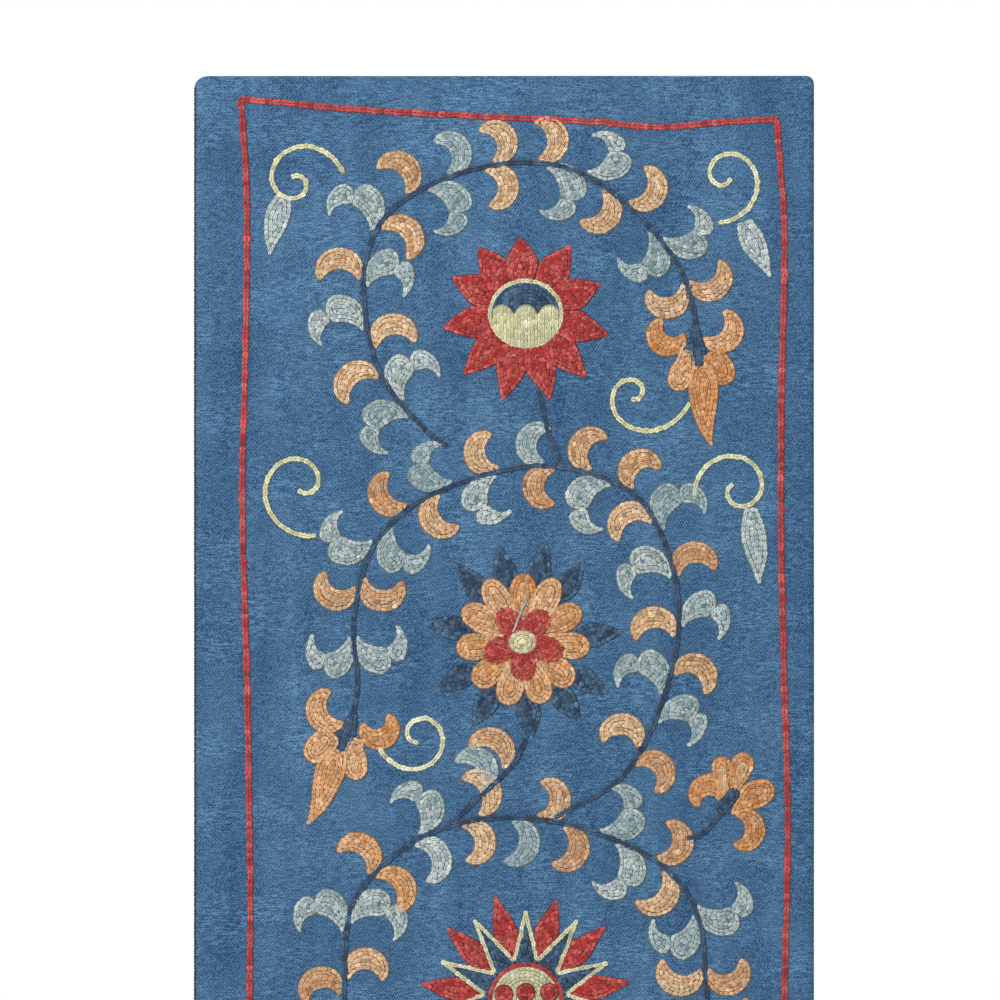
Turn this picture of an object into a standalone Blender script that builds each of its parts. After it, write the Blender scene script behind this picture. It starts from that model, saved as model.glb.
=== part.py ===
"""Embroidered wall hanging: one long panel of woven cloth that hangs from its top edge.

Leaves, flowers, vines and a border line in chain stitch stand raised on its face: the panel is one solid.
The worked face looks along -Y, +X is to the viewer's right and +Z is up. The origin is the middle of the
top edge. Places on the cloth are (across, down) in millimetres, from its middle line and its top edge.
"""

from collections import namedtuple

import bpy
import numpy as np
from mathutils import Vector
from mathutils.geometry import delaunay_2d_cdt

MM = 0.001

# The cloth
WIDTH = 400.0
LENGTH = 1193.0
THICKNESS = 1.2
CORNER_CUT = 7.0
CORNER_INSET = 0.3 * CORNER_CUT
RIM_STEP = 60.0
GRID_STEP = 55.0
MERGE_WITHIN = 0.08

# Its ripples: how deep, how far apart, the share that they have at the top, and their slant
SWELL = 1.3
SWELL_PITCH = 175.0
SWELL_AT_TOP = 0.3
SWELL_SLANT = 500.0
SAG = 0.8
SAG_PITCH = 430.0
SAG_SLANT = 120.0

# The stitched relief
THREAD_HEIGHT = 0.9
SHOULDER = 1.8
VINE_WIDTH = 3.6
CHAIN_WIDTH = 4.2
STITCH_GAP = 0.05
LEAST_RISE = 0.02
VINE_STEP = 24.0
BORDER_STEP = 55.0

# The lower half repeats the upper half turned by half a turn about the middle of the border,
# and what belongs to the ring turns about the middle of the ring instead.
MIDDLE = np.array([7.4, LENGTH / 2])
RING_MIDDLE = np.array([14.0, LENGTH / 2])

# Vines: a name, then the points that each runs through
VINES = {
    "arch": [(127, 187), (118, 135), (92, 96), (52, 64), (8, 56), (-43, 68), (-79, 94), (-91, 134),
             (-81, 190), (-52, 227), (-38, 238)],
    "wave": [(-105, 435), (-95, 397), (-97, 349), (-84, 303), (-52, 273), (2, 254), (46, 254),
             (87, 273), (108, 315), (112, 363), (97, 417), (74, 454), (34, 478)],
    "ring": [(131, 596), (125, 542), (101, 509), (61, 489), (17, 479), (-28, 482), (-67, 500),
             (-98, 535), (-103, 585), (-103, 596)],
    "star_stem": [(22, 204), (29, 232), (37, 251)],
    "rosette_stem": [(14, 428), (4, 446), (-28, 476)],
    "tulip_stem": [(92, 500), (117, 493), (135, 484), (146, 470)],
}
ON_RING = ("ring", "tulip_stem")

# Leaves in order along a side of a vine: c crescent, d double, o orange crescent, s small crescent
LeafRow = namedtuple("LeafRow", "vine side kinds stations")
LEAVES = [
    LeafRow("arch", -1, "cdcdcdcdcd", (62, 91, 133, 181, 223, 253, 294, 346, 383, 420)),
    LeafRow("arch", 1, "cdcdccdcdcdcd", (53, 96, 111, 145, 168, 205, 233, 268, 292, 325, 362, 394, 431)),
    LeafRow("wave", -1, "dcdcdcdccdcdcdc",
            (72, 100, 132, 169, 198, 224, 257, 289, 321, 357, 387, 426, 447, 477, 509)),
    LeafRow("wave", 1, "dcdcdcdcdcdc", (77, 104, 147, 193, 228, 279, 328, 362, 410, 436, 476, 503)),
    LeafRow("ring", -1, "cdcdcdcdodc", (17, 73, 103, 139, 169, 201, 231, 264, 296, 342, 369)),
    LeafRow("ring", 1, "cdcdccdodc", (19, 68, 108, 160, 186, 256, 285, 319, 344, 379)),
    LeafRow("rosette_stem", 1, "cs", (26, 46)),
]
STATION_STEP = 1.0
CRESCENT_SPAN = 22.5
DOUBLE_SPAN = 29.0
SMALL_SPAN = 19.0
LEAF_LEAN = 9.0
LEAN_VARIES = 9.0
SIZE_VARIES = 0.07

# A crescent's shares of its span: the arc's height and the half width of its belly
ARC_HEIGHT = 0.75
BELLY = 0.285

# Tendrils: middle of the curl, radius and angle of its root, and how many degrees it sweeps
Tendril = namedtuple("Tendril", "middle radius start sweep")
TENDRILS = [
    Tendril((-132, 66), 28, 5, 510),
    Tendril((146, 70), 27, 253, 455),
    Tendril((88, 206), 30, -6, -400),
    Tendril((150, 267), 27, 188, -425),
    Tendril((-132, 267), 31, -71, -385),
    Tendril((-58, 429), 23, 193, 330),
]
CURL_RADIUS = 4.5
CURL_POINTS = 14

# Slender leaves under the tendrils: base, tip
SLENDER_LEAVES = [((-142, 76), (-151, 116)), ((155, 94), (172, 130)), ((159, 279), (165, 328))]
SLENDER_HALF_WIDTH = 7.5

# Flowers: rings of petals round a middle, each petal from its foot to its tip
Petals = namedtuple("Petals", "count foot tip varies half_width")
STAR_MIDDLE = np.array([13.5, 154.0])
STAR_RAYS = Petals(11, 25, 56, 3, 10)
STAR_DISC = (24.0, 22.5)
ROSETTE_MIDDLE = np.array([12.0, 365.5])
ROSETTE_LEAVES = Petals(11, 41, 66, 3, 8)
ROSETTE_PETALS = Petals(11, 20, 35, 2, 8.8)
ROSETTE_DROPS = Petals(5, 9, 17, 0, 8)
ROSETTE_DISC = (9.0, 7.5)
MIDDLE_RAYS = Petals(11, 36, 68, 3, 8.5)
MIDDLE_POINTS = Petals(11, 25, 58, 2, 6.5)
MIDDLE_DISC = (24.0, 24.0)
DISC_POINTS = 14
SMALL_DISC_POINTS = 8

# Palmettes: cup, direction of the long petal in degrees from straight down
PALMETTES = [((126, 188), -6), ((-106, 436), 20)]

# Drops, seen from the foot of their flower: tip, bend, middle and radius of the round head
Drop = namedtuple("Drop", "tip bend head radius")
PALMETTE_ROWS = [Drop((16, -36), (27, -27), (16, -17), 9.5), Drop((3, -19), (6, -12), (13, -9), 9.0),
                 Drop((1, -2), (8, -3), (15.5, 0.5), 9.5)]
PALMETTE_PETAL = ((0, -6), (1, 53), 9.5)
CALYX = ((0, -34), (0, 1), 4.5)

# Tulip at the right of the ring
TULIP_FOOT = np.array([146.0, 469.0])
TULIP_ROWS = [Drop((-20, 3), (-21, -8), (-12, -10), 6.5), Drop((-6.5, 2), (-7, -2), (-11, -8), 5.0),
              Drop((-2, 0), (-3.5, -11), (-5, -22.5), 7.0), Drop((2, -5), (6, -15), (9.5, -25), 8.0),
              Drop((5, 1), (12, -3), (19, -6.5), 8.5), Drop((2.5, 26), (17.5, 22.5), (14, 10), 7.5),
              Drop((0.5, 7), (5, 6), (11.5, 8), 6.5)]

# Border line: its left, top and right runs in the upper half
BORDER_LEFT = [(-170, 15), (-166, 80), (-167, 180), (-169, 275), (-166, 390), (-164, 510), (-164, 596)]
BORDER_TOP = [(-170, 15), (-90, 22), (2, 27), (60, 30), (101, 33), (140, 30), (176, 28)]
BORDER_RIGHT = [(176, 28), (181, 105), (179, 210), (179, 310), (181, 400), (183, 485), (181, 596)]

# Colours of the cloth and the threads
COLOURS = {
    "ground_indigo": (0.065, 0.160, 0.300),
    "thread_peach": (0.680, 0.360, 0.150),
    "thread_grey": (0.360, 0.510, 0.520),
    "thread_orange": (0.640, 0.250, 0.060),
    "thread_red": (0.490, 0.030, 0.030),
    "thread_cream": (0.730, 0.700, 0.400),
    "thread_navy": (0.018, 0.060, 0.130),
}
ROUGHNESS = 0.9


def smooth_path(points, step):
    """A Catmull-Rom curve through the points, read again at even steps along its length."""
    p = np.asarray(points, float)
    p = np.vstack([2 * p[0] - p[1], p, 2 * p[-1] - p[-2]])
    t = np.linspace(0, 1, 24, endpoint=False)[:, None]
    runs = []
    for a, b, c, d in zip(p[:-3], p[1:-2], p[2:-1], p[3:]):
        runs.append(b + 0.5 * t * (c - a + t * (2 * a - 5 * b + 4 * c - d + t * (3 * b - a - 3 * c + d))))
    dense = np.vstack(runs + [p[-2:-1]])
    along = np.concatenate([[0], np.cumsum(np.linalg.norm(np.diff(dense, axis=0), axis=1))])
    at = np.linspace(0, along[-1], max(2, round(along[-1] / step) + 1))
    return np.stack([np.interp(at, along, dense[:, k]) for k in (0, 1)], axis=1)


def directions(path):
    """The unit direction of a path at each of its points."""
    step = np.gradient(path, axis=0)
    return step / np.linalg.norm(step, axis=1)[:, None]


def turned(points, middle):
    """The points after half a turn about the middle."""
    return 2 * middle - points


def varied(seed):
    """A fixed number from -1 to 1 for each seed, from the fraction of a large sine."""
    return 2 * ((np.sin(seed * 12.9898) * 43758.5453) % 1) - 1


def lobe(spine, half_width):
    """The outline of a form: its middle line moved out by the half width, up one side and down the other."""
    along = directions(spine)
    side = np.stack([-along[:, 1], along[:, 0]], axis=1) * half_width[:, None]
    outline = np.vstack([spine + side, (spine - side)[::-1]])
    apart = np.linalg.norm(outline - np.roll(outline, 1, axis=0), axis=1) > STITCH_GAP
    return outline[apart]


def crescent(span):
    """A moon-shaped leaf: an arc over a chord of the span, widest at its top, with a point at each end."""
    height = ARC_HEIGHT * span
    radius = (span**2 / 4 + height**2) / (2 * height)
    reach = np.arccos((radius - height) / radius)
    share = np.linspace(-1, 1, 6)
    spine = np.stack([span / 2 + radius * np.sin(reach * share),
                      height - radius + radius * np.cos(reach * share)], axis=1)
    half_width = BELLY * span * np.cos(share * np.pi / 2).clip(0) ** 0.6
    return [(lobe(spine, half_width), spine[2:4])]


def teardrop(tip, bend, head, radius):
    """A drop on a quadratic curve: its half width grows from the tip to the head, and a round cap closes it."""
    tip, bend, head = (np.asarray(p, float) for p in (tip, bend, head))
    t = np.array([0, 0.5, 1])[:, None]
    spine = (1 - t) ** 2 * tip + 2 * t * (1 - t) * bend + t**2 * head
    onward = (head - bend) / np.linalg.norm(head - bend)
    cap = np.array([0.75, 1.0])
    spine = np.vstack([spine, head + onward * radius * cap[:, None]])
    half_width = radius * np.concatenate([t[:, 0] ** 0.75, np.sqrt(1 - cap**2)])
    return lobe(spine, half_width), spine[1:3]


def double_leaf(span):
    """A leaf of two drops that share their inner curve, with a notch between their round heads."""
    drops = [Drop((0, 0), (0.04, 0.48), (0.50, 0.66), 0.25),
             Drop((0.96, -0.26), (1.10, 0.24), (0.86, 0.40), 0.23)]
    return [teardrop(*(span * np.asarray(share) for share in drop)) for drop in drops]


def pointed(base, tip, half_width):
    """A leaf or petal on a straight middle line, widest at two fifths of it, with a point at its tip."""
    base, tip = np.asarray(base, float), np.asarray(tip, float)
    t = np.array([0, 0.4, 0.75, 1])
    spine = base + t[:, None] * (tip - base)
    return lobe(spine, half_width * np.array([0.35, 1, 0.6, 0])), spine[1:3]


def oval(middle, half_across, half_down, points):
    """An oval outline with a spine across its middle."""
    turn = np.linspace(0, 2 * np.pi, points, endpoint=False)
    outline = middle + np.stack([half_across * np.cos(turn), half_down * np.sin(turn)], axis=1)
    return outline, middle + np.array([(-half_across / 2, 0), (half_across / 2, 0)])


def line(path, width):
    """A stitched line: a band of even width along its path, with a spine along its middle."""
    return lobe(path, np.full(len(path), width / 2)), path[1:-1]


def ray(middle, angle, radius):
    """The point at a radius from the middle, at an angle in degrees clockwise from straight up."""
    angle = np.radians(angle)
    return middle + radius * np.stack([np.sin(angle), -np.cos(angle)], axis=-1)


def on_vine(path, station, side, span, shape):
    """A leaf set on its vine: its root on the line, its tips along it, turned by a lean that varies."""
    along = np.concatenate([[0], np.cumsum(np.linalg.norm(np.diff(path, axis=0), axis=1))])
    at = min(int(np.searchsorted(along, station)), len(path) - 2)
    root, back = path[at], -directions(path)[at]
    outward = side * np.array([back[1], -back[0]])
    lean = np.radians(LEAF_LEAN + LEAN_VARIES * varied(station + side))
    size = span * (1 + SIZE_VARIES * varied(station - 3 * side))
    turn = np.array([[np.cos(lean), -np.sin(lean)], [np.sin(lean), np.cos(lean)]])
    frame = turn @ np.stack([outward, back])
    root = root + outward * VINE_WIDTH / 2
    return [(root + outline @ frame, root + spine @ frame) for outline, spine in shape(size)]


def leaves():
    """Every leaf on the vines."""
    kinds = {"c": ("thread_peach", CRESCENT_SPAN, crescent), "d": ("thread_grey", DOUBLE_SPAN, double_leaf),
             "o": ("thread_orange", CRESCENT_SPAN, crescent), "s": ("thread_grey", SMALL_SPAN, crescent)}
    for row in LEAVES:
        path = smooth_path(VINES[row.vine], STATION_STEP)
        for kind, station in zip(row.kinds, row.stations):
            colour, span, shape = kinds[kind]
            for outline, spine in on_vine(path, station, row.side, span, shape):
                yield row.vine in ON_RING, colour, outline, spine


def vines():
    """The vines and stems."""
    for name, points in VINES.items():
        yield name in ON_RING, "thread_navy", *line(smooth_path(points, VINE_STEP), VINE_WIDTH)


def tendrils():
    """The curled tendrils, each a spiral whose radius falls evenly, and the slender leaves beside them."""
    for curl in TENDRILS:
        share = np.linspace(0, 1, CURL_POINTS)
        angle = np.radians(curl.start + curl.sweep * share)
        reach = curl.radius + (CURL_RADIUS - curl.radius) * share
        path = np.array(curl.middle) + np.stack([reach * np.cos(angle), -reach * np.sin(angle)], axis=1)
        yield False, "thread_cream", *line(path, CHAIN_WIDTH)
    for base, tip in SLENDER_LEAVES:
        yield False, "thread_grey", *pointed(base, tip, SLENDER_HALF_WIDTH)


def petal_ring(middle, petals, first, shape):
    """One ring of petals, the first one at a share of a petal's turn from straight up."""
    for i in range(petals.count):
        angle = 360 / petals.count * (i + first)
        foot = ray(middle, angle, petals.foot)
        tip = ray(middle, angle, petals.tip + petals.varies * varied(i))
        if shape is teardrop:
            yield teardrop(foot, (foot + tip) / 2, tip, petals.half_width)
        else:
            yield pointed(foot, tip, petals.half_width)


def star():
    """The red star flower with its round middle."""
    for form in petal_ring(STAR_MIDDLE, STAR_RAYS, 0, pointed):
        yield False, "thread_red", *form
    yield False, "thread_cream", *oval(STAR_MIDDLE, *STAR_DISC, DISC_POINTS)


def rosette():
    """The rosette: pointed leaves behind, round petals, five drops and a small middle."""
    for form in petal_ring(ROSETTE_MIDDLE, ROSETTE_LEAVES, 0.5, pointed):
        yield False, "thread_navy", *form
    for form in petal_ring(ROSETTE_MIDDLE, ROSETTE_PETALS, 0, teardrop):
        yield False, "thread_orange", *form
    for form in petal_ring(ROSETTE_MIDDLE, ROSETTE_DROPS, 0.5, teardrop):
        yield False, "thread_red", *form
    yield False, "thread_cream", *oval(ROSETTE_MIDDLE, *ROSETTE_DISC, SMALL_DISC_POINTS)


def middle_star():
    """The flower in the middle of the ring: red petals, a zigzag of points round its disc, and the disc."""
    for form in petal_ring(RING_MIDDLE, MIDDLE_RAYS, 0.5, pointed):
        yield None, "thread_red", *form
    for form in petal_ring(RING_MIDDLE, MIDDLE_POINTS, 0, pointed):
        yield None, "thread_navy", *form
    yield None, "thread_cream", *oval(RING_MIDDLE, *MIDDLE_DISC, DISC_POINTS)


def palmettes():
    """The palmettes: paired side petals, a long middle petal and a dark cup."""
    for cup, angle in PALMETTES:
        angle = np.radians(angle)
        frame = np.array([[np.cos(angle), np.sin(angle)], [-np.sin(angle), np.cos(angle)]])
        shapes = [("thread_navy", pointed(*CALYX)), ("thread_orange", pointed(*PALMETTE_PETAL))]
        for side in (1, -1):
            for tip, bend, head, radius in PALMETTE_ROWS:
                mirrored = [np.array(p) * (side, 1) for p in (tip, bend, head)]
                shapes.append(("thread_orange", teardrop(*mirrored, radius)))
        for colour, (outline, spine) in shapes:
            yield False, colour, cup + outline @ frame, cup + spine @ frame


def tulip():
    """The tulip beside the ring."""
    for row in TULIP_ROWS:
        outline, spine = teardrop(*row)
        yield True, "thread_orange", TULIP_FOOT + outline, TULIP_FOOT + spine


def border():
    """The border line: one run down each side, one along the top and one along the foot."""
    left = BORDER_LEFT + [tuple(turned(np.array(p), MIDDLE)) for p in BORDER_RIGHT[-2::-1]]
    right = BORDER_RIGHT + [tuple(turned(np.array(p), MIDDLE)) for p in BORDER_LEFT[-2::-1]]
    foot = [tuple(turned(np.array(p), MIDDLE)) for p in BORDER_TOP]
    for run in (left, right, BORDER_TOP, foot):
        yield None, "thread_red", *line(smooth_path(run, BORDER_STEP), CHAIN_WIDTH)


def stitched_forms():
    """All stitched forms on the cloth, in the order that they are worked: (colour, outline, spine).

    Each group yields whether a form turns with the ring (None for one that isn't repeated), then the form.
    """
    forms = []
    for group in (border, vines, tendrils, leaves, star, rosette, palmettes, tulip, middle_star):
        for on_ring, colour, outline, spine in group():
            forms.append((colour, outline, spine))
            if on_ring is not None:
                middle = RING_MIDDLE if on_ring else MIDDLE
                forms.append((colour, turned(outline, middle), turned(spine, middle)))
    return forms


def depth_inside(points, outline):
    """How far inside a closed outline each point lies, and zero outside it."""
    a, b = outline, np.roll(outline, -1, axis=0)
    x, y = points[:, None, 0], points[:, None, 1]
    crosses = (a[:, 1] > y) != (b[:, 1] > y)
    rise = np.where(b[:, 1] == a[:, 1], 1.0, b[:, 1] - a[:, 1])
    inside = (crosses & (x < a[:, 0] + (y - a[:, 1]) * (b[:, 0] - a[:, 0]) / rise)).sum(axis=1) % 2 == 1
    run = b - a
    share = ((points[:, None] - a) * run).sum(axis=2) / (run**2).sum(axis=1)
    nearest = a + share.clip(0, 1)[..., None] * run
    return np.where(inside, np.linalg.norm(points[:, None] - nearest, axis=2).min(axis=1), 0)


def relief(points, forms):
    """The stitches' height over the cloth at each point, and which form is on top there."""
    height = np.zeros(len(points))
    top = np.full(len(points), -1)
    for i, (_, outline, _) in enumerate(forms):
        low, high = outline.min(axis=0), outline.max(axis=0)
        near = np.flatnonzero(((points > low) & (points < high)).all(axis=1))
        if len(near):
            rise = THREAD_HEIGHT * (depth_inside(points[near], outline) / SHOULDER).clip(0, 1)
            covered = rise > LEAST_RISE
            top[near[covered]] = i
            height[near] = np.maximum(height[near], rise)
    return height, top


def swell(points):
    """How far the hung cloth stands forward: upright ripples that deepen downwards, and a slow wave."""
    across, down = points[:, 0], points[:, 1]
    depth = SWELL * (SWELL_AT_TOP + (1 - SWELL_AT_TOP) * down / LENGTH)
    ripples = depth * np.sin(2 * np.pi * across / SWELL_PITCH + down / SWELL_SLANT)
    return ripples + SAG * np.sin(2 * np.pi * down / SAG_PITCH + across / SAG_SLANT)


def rim():
    """The cloth's edge, corner to corner, with each corner cut a little round."""
    half = WIDTH / 2
    corners = [(-half, 0), (half, 0), (half, LENGTH), (-half, LENGTH)]
    points = []
    for i, corner in enumerate(corners):
        corner = np.array(corner, float)
        before, after = (np.array(corners[(i + k) % 4], float) - corner for k in (-1, 1))
        length = np.linalg.norm(after)
        before, after = before / np.linalg.norm(before), after / length
        points += [corner + CORNER_CUT * before, corner + CORNER_INSET * (before + after),
                   corner + CORNER_CUT * after]
        count = round(length / RIM_STEP)
        share = np.arange(1, count)[:, None] / count
        points += list(corner + after * (CORNER_CUT + share * (length - 2 * CORNER_CUT)))
    return np.array(points)


def triangulated(points, edges):
    """Triangles over the points that keep the edges, and where each given point ended up."""
    found = delaunay_2d_cdt([Vector(p) for p in points], edges, [], 0, MERGE_WITHIN)
    vertices, faces, sources = found[0], found[2], found[3]
    place = {given: i for i, given_points in enumerate(sources) for given in given_points}
    return np.array([tuple(v) for v in vertices]), [tuple(f) for f in faces], place


def chain(start, count, closed):
    """Edges that join points in a row."""
    return [(start + i, start + (i + 1) % count) for i in range(count if closed else count - 1)]


def grid():
    """Points over the plain cloth, so that it follows its ripples."""
    across = np.arange(-WIDTH / 2 + GRID_STEP / 2, WIDTH / 2, GRID_STEP)
    down = np.arange(GRID_STEP / 2, LENGTH, GRID_STEP)
    return np.stack(np.meshgrid(across, down), axis=-1).reshape(-1, 2)


def worked_face(edge, forms):
    """The front: every form's outline and spine become edges of the surface."""
    points, edges = list(edge), chain(0, len(edge), True)
    for _, outline, spine in forms:
        edges += chain(len(points), len(outline), True)
        points += list(outline)
        edges += chain(len(points), len(spine), False)
        points += list(spine)
    spare = grid()
    covered = np.zeros(len(spare), bool)
    for _, outline, _ in forms:
        reach = np.linalg.norm(spare[:, None] - outline, axis=2).min(axis=1)
        covered |= reach < GRID_STEP / 3
    return triangulated(points + list(spare[~covered]), edges)


def material(name):
    """A plain matt material in one of the thread or cloth colours."""
    made = bpy.data.materials.new(name)
    made.use_nodes = True
    shader = made.node_tree.nodes["Principled BSDF"]
    shader.inputs["Base Color"].default_value = (*COLOURS[name], 1)
    shader.inputs["Roughness"].default_value = ROUGHNESS
    shader.inputs["Metallic"].default_value = 0
    return made


def facing(points, faces, sign):
    """Each triangle wound so that its turn on the cloth has the given sign."""
    wound = []
    for a, b, c in faces:
        (ax, ay), (bx, by), (cx, cy) = points[a], points[b], points[c]
        turn = (bx - ax) * (cy - ay) - (by - ay) * (cx - ax)
        wound.append((a, b, c) if turn * sign > 0 else (a, c, b))
    return wound


def build_hanging():
    """The cloth as one closed body: worked face, plain back, and a wall round the rim between them."""
    edge, forms = rim(), stitched_forms()
    front, front_faces, front_place = worked_face(edge, forms)
    back, back_faces, back_place = triangulated(list(edge) + list(grid()), chain(0, len(edge), True))
    height, _ = relief(front, forms)
    front_y = -THICKNESS / 2 - height - swell(front)
    back_y = THICKNESS / 2 - swell(back)
    offset = len(front)
    flat = np.vstack([front, back])
    vertices = np.stack([flat[:, 0], np.concatenate([front_y, back_y]), -flat[:, 1]], axis=1) * MM
    faces = facing(front, front_faces, -1)
    middles = np.array([front[list(face)].mean(axis=0) for face in faces])
    _, top = relief(middles, forms)
    names = list(COLOURS)
    slots = [names.index(forms[i][0]) if i >= 0 else 0 for i in top]
    faces += [tuple(offset + i for i in face) for face in facing(back, back_faces, 1)]
    for i in range(len(edge)):
        j = (i + 1) % len(edge)
        a, b = front_place[i], front_place[j]
        c, d = offset + back_place[j], offset + back_place[i]
        faces += [(a, b, c), (a, c, d)]
    mesh = bpy.data.meshes.new("ground_cloth")
    mesh.from_pydata([tuple(v) for v in vertices], [], faces)
    for name in names:
        mesh.materials.append(material(name))
    mesh.polygons.foreach_set("material_index", slots + [0] * (len(faces) - len(slots)))
    mesh.update()
    hanging = bpy.data.objects.new("ground_cloth", mesh)
    bpy.context.scene.collection.objects.link(hanging)


for old in list(bpy.data.objects):
    bpy.data.objects.remove(old)
build_hanging()
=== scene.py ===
"""The looks of an embroidered wall hanging: a woven indigo panel worked all over in chain stitch.

Places on the cloth are (across, down) in millimetres: across from its middle line, down from its top edge.
Every stitch is a loop of thread with two legs, and the stitches follow the outlines of the leaves and petals.
The worked face looks along -Y.
"""

from collections import namedtuple

import bpy
import numpy as np
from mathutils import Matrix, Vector
from mathutils.geometry import tessellate_polygon


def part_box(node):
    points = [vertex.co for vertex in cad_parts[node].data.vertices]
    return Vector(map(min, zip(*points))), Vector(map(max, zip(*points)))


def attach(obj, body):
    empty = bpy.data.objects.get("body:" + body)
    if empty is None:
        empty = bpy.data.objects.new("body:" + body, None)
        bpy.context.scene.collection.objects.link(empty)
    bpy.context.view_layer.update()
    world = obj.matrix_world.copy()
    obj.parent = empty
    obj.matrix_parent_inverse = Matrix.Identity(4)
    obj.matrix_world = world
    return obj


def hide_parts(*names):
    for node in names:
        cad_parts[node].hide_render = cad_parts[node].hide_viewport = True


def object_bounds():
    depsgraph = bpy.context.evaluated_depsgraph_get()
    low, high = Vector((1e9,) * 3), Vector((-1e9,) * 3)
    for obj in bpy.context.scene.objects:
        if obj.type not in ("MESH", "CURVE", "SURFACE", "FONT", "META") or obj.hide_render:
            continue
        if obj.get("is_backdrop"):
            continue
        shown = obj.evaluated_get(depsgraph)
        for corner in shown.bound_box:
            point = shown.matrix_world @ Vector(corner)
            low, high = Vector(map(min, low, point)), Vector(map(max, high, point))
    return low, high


bl_info = {
    "name": "Embroidered wall hanging",
    "version": (1, 0, 0),
    "blender": (4, 5, 0),
    "location": "3D View > Sidebar > Hanging",
    "description": "Builds an indigo wall hanging worked in chain stitch",
    "category": "Add Mesh",
}

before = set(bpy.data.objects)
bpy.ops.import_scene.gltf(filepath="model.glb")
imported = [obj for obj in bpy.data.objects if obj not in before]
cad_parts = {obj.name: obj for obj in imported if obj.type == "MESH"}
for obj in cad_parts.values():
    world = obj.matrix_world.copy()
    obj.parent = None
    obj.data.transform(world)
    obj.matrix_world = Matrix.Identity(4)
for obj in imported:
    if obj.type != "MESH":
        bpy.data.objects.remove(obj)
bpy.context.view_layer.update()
NODE = "ground_cloth"
BODY = "root"

MM = 0.001
CLOTH_LOW, CLOTH_HIGH = (np.array(corner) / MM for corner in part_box(NODE))
WIDTH = float(CLOTH_HIGH[0] - CLOTH_LOW[0])
LENGTH = float(CLOTH_HIGH[2] - CLOTH_LOW[2])

# The cloth's ripples, as in its solid
SWELL = 1.3
SWELL_PITCH = 175.0
SWELL_AT_TOP = 0.3
SWELL_SLANT = 500.0
SAG = 0.8
SAG_PITCH = 430.0
SAG_SLANT = 120.0

# Its corner cuts, along the top or foot and along the side
Corner = namedtuple("Corner", "along beside")
TOP_LEFT = Corner(8.5, 8.0)
TOP_RIGHT = Corner(4.5, 6.0)

# The lower half repeats the upper half turned by half a turn about the middle of the border,
# and what belongs to the ring turns about the middle of the ring instead.
MIDDLE = np.array([7.4, LENGTH / 2])
RING_MIDDLE = np.array([14.0, LENGTH / 2])

# Soft creases in the cloth: middle, direction in degrees from straight down, length, width, depth
Crease = namedtuple("Crease", "across down lean length width depth")
CREASES = [
    Crease(171, 190, 0, 210, 5, 0.35),
    Crease(184, 150, 1, 190, 4, -0.3),
    Crease(-143, 175, 3, 120, 6, 0.35),
    Crease(-40, 145, -4, 60, 5, 0.25),
    Crease(160, 420, 0, 160, 6, 0.3),
    Crease(-176, 420, 1, 260, 5, -0.3),
    Crease(60, 330, 86, 90, 5, 0.2),
    Crease(-150, 560, 80, 60, 5, 0.2),
]

# Vines: a name, then the points that each runs through
VINES = {
    "arch": [(127, 187), (118, 135), (92, 96), (52, 64), (8, 56), (-43, 68), (-79, 94), (-91, 134),
             (-81, 190), (-52, 227), (-38, 238)],
    "wave": [(-105, 435), (-95, 397), (-97, 349), (-84, 303), (-52, 273), (2, 254), (46, 254),
             (87, 273), (108, 315), (112, 363), (97, 417), (74, 454), (34, 478)],
    "ring": [(131, 596), (125, 542), (101, 509), (61, 489), (17, 479), (-28, 482), (-67, 500),
             (-98, 535), (-103, 585), (-103, 596)],
    "star_stem": [(22, 204), (29, 232), (37, 251)],
    "rosette_stem": [(14, 428), (4, 446), (-22, 471), (-37, 485)],
    "tulip_stem": [(118, 492), (124, 491), (131, 486.5), (138, 478.5), (146, 472)],
}
ON_RING = ("ring", "tulip_stem")

# Leaves in order along a side of a vine: c peach moon, o orange moon, g grey moon, d grey double leaf.
# They share out the run between the row's first and last station, in millimetres along the vine, and a
# double leaf takes more of it.
LeafRow = namedtuple("LeafRow", "vine side kinds first last")
LEAVES = [
    LeafRow("arch", -1, "cdcdcdcdcd", 55, 420),
    LeafRow("arch", 1, "cdcdccgcdcdcd", 55, 430),
    LeafRow("wave", -1, "dcdcdcgccdcdcdc", 75, 510),
    LeafRow("wave", 1, "dcdcdcdcdcdc", 75, 500),
    LeafRow("ring", -1, "cdcdcgcgodc", 20, 370),
    LeafRow("ring", 1, "cdcdccdodc", 20, 380),
    LeafRow("rosette_stem", 1, "cg", 25, 45),
]
DOUBLE_SHARE = 1.15

# Leaves lean back from square to the vine, in degrees, each by a little more or less
LEAF_LEAN = -10
LEAN_VARIES = 10
STATION_STEP = 1.0

# Spans between the two tips of a leaf, each a little longer or shorter; their heights stay the same
MOON_SPAN = 23.0
SPAN_VARIES = 0.12
MOON_HEIGHT = 20.5
MOON_SPINE = 0.70
MOON_HALF_WIDTH = 0.335
DOUBLE_SPAN = 29.0
DOUBLE_HEIGHT = 31.0

# A double leaf's root lobe and free lobe, in spans along and heights out: each from its tip round to the
# notch between them, and back along the inner arc
DOUBLE_LEAF = [
    ([(0, 0), (-0.11, 0.20), (-0.13, 0.48), (0.04, 0.77), (0.33, 0.90), (0.53, 0.82), (0.61, 0.65)],
     [(0.61, 0.65), (0.56, 0.40), (0.38, 0.34), (0.20, 0.24), (0.07, 0.11), (0, 0)]),
    ([(0.90, -0.02), (1.02, 0.14), (1.06, 0.36), (0.98, 0.60), (0.82, 0.73), (0.68, 0.71), (0.61, 0.65)],
     [(0.61, 0.65), (0.56, 0.40), (0.69, 0.35), (0.81, 0.26), (0.88, 0.13), (0.90, -0.02)]),
]

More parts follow.
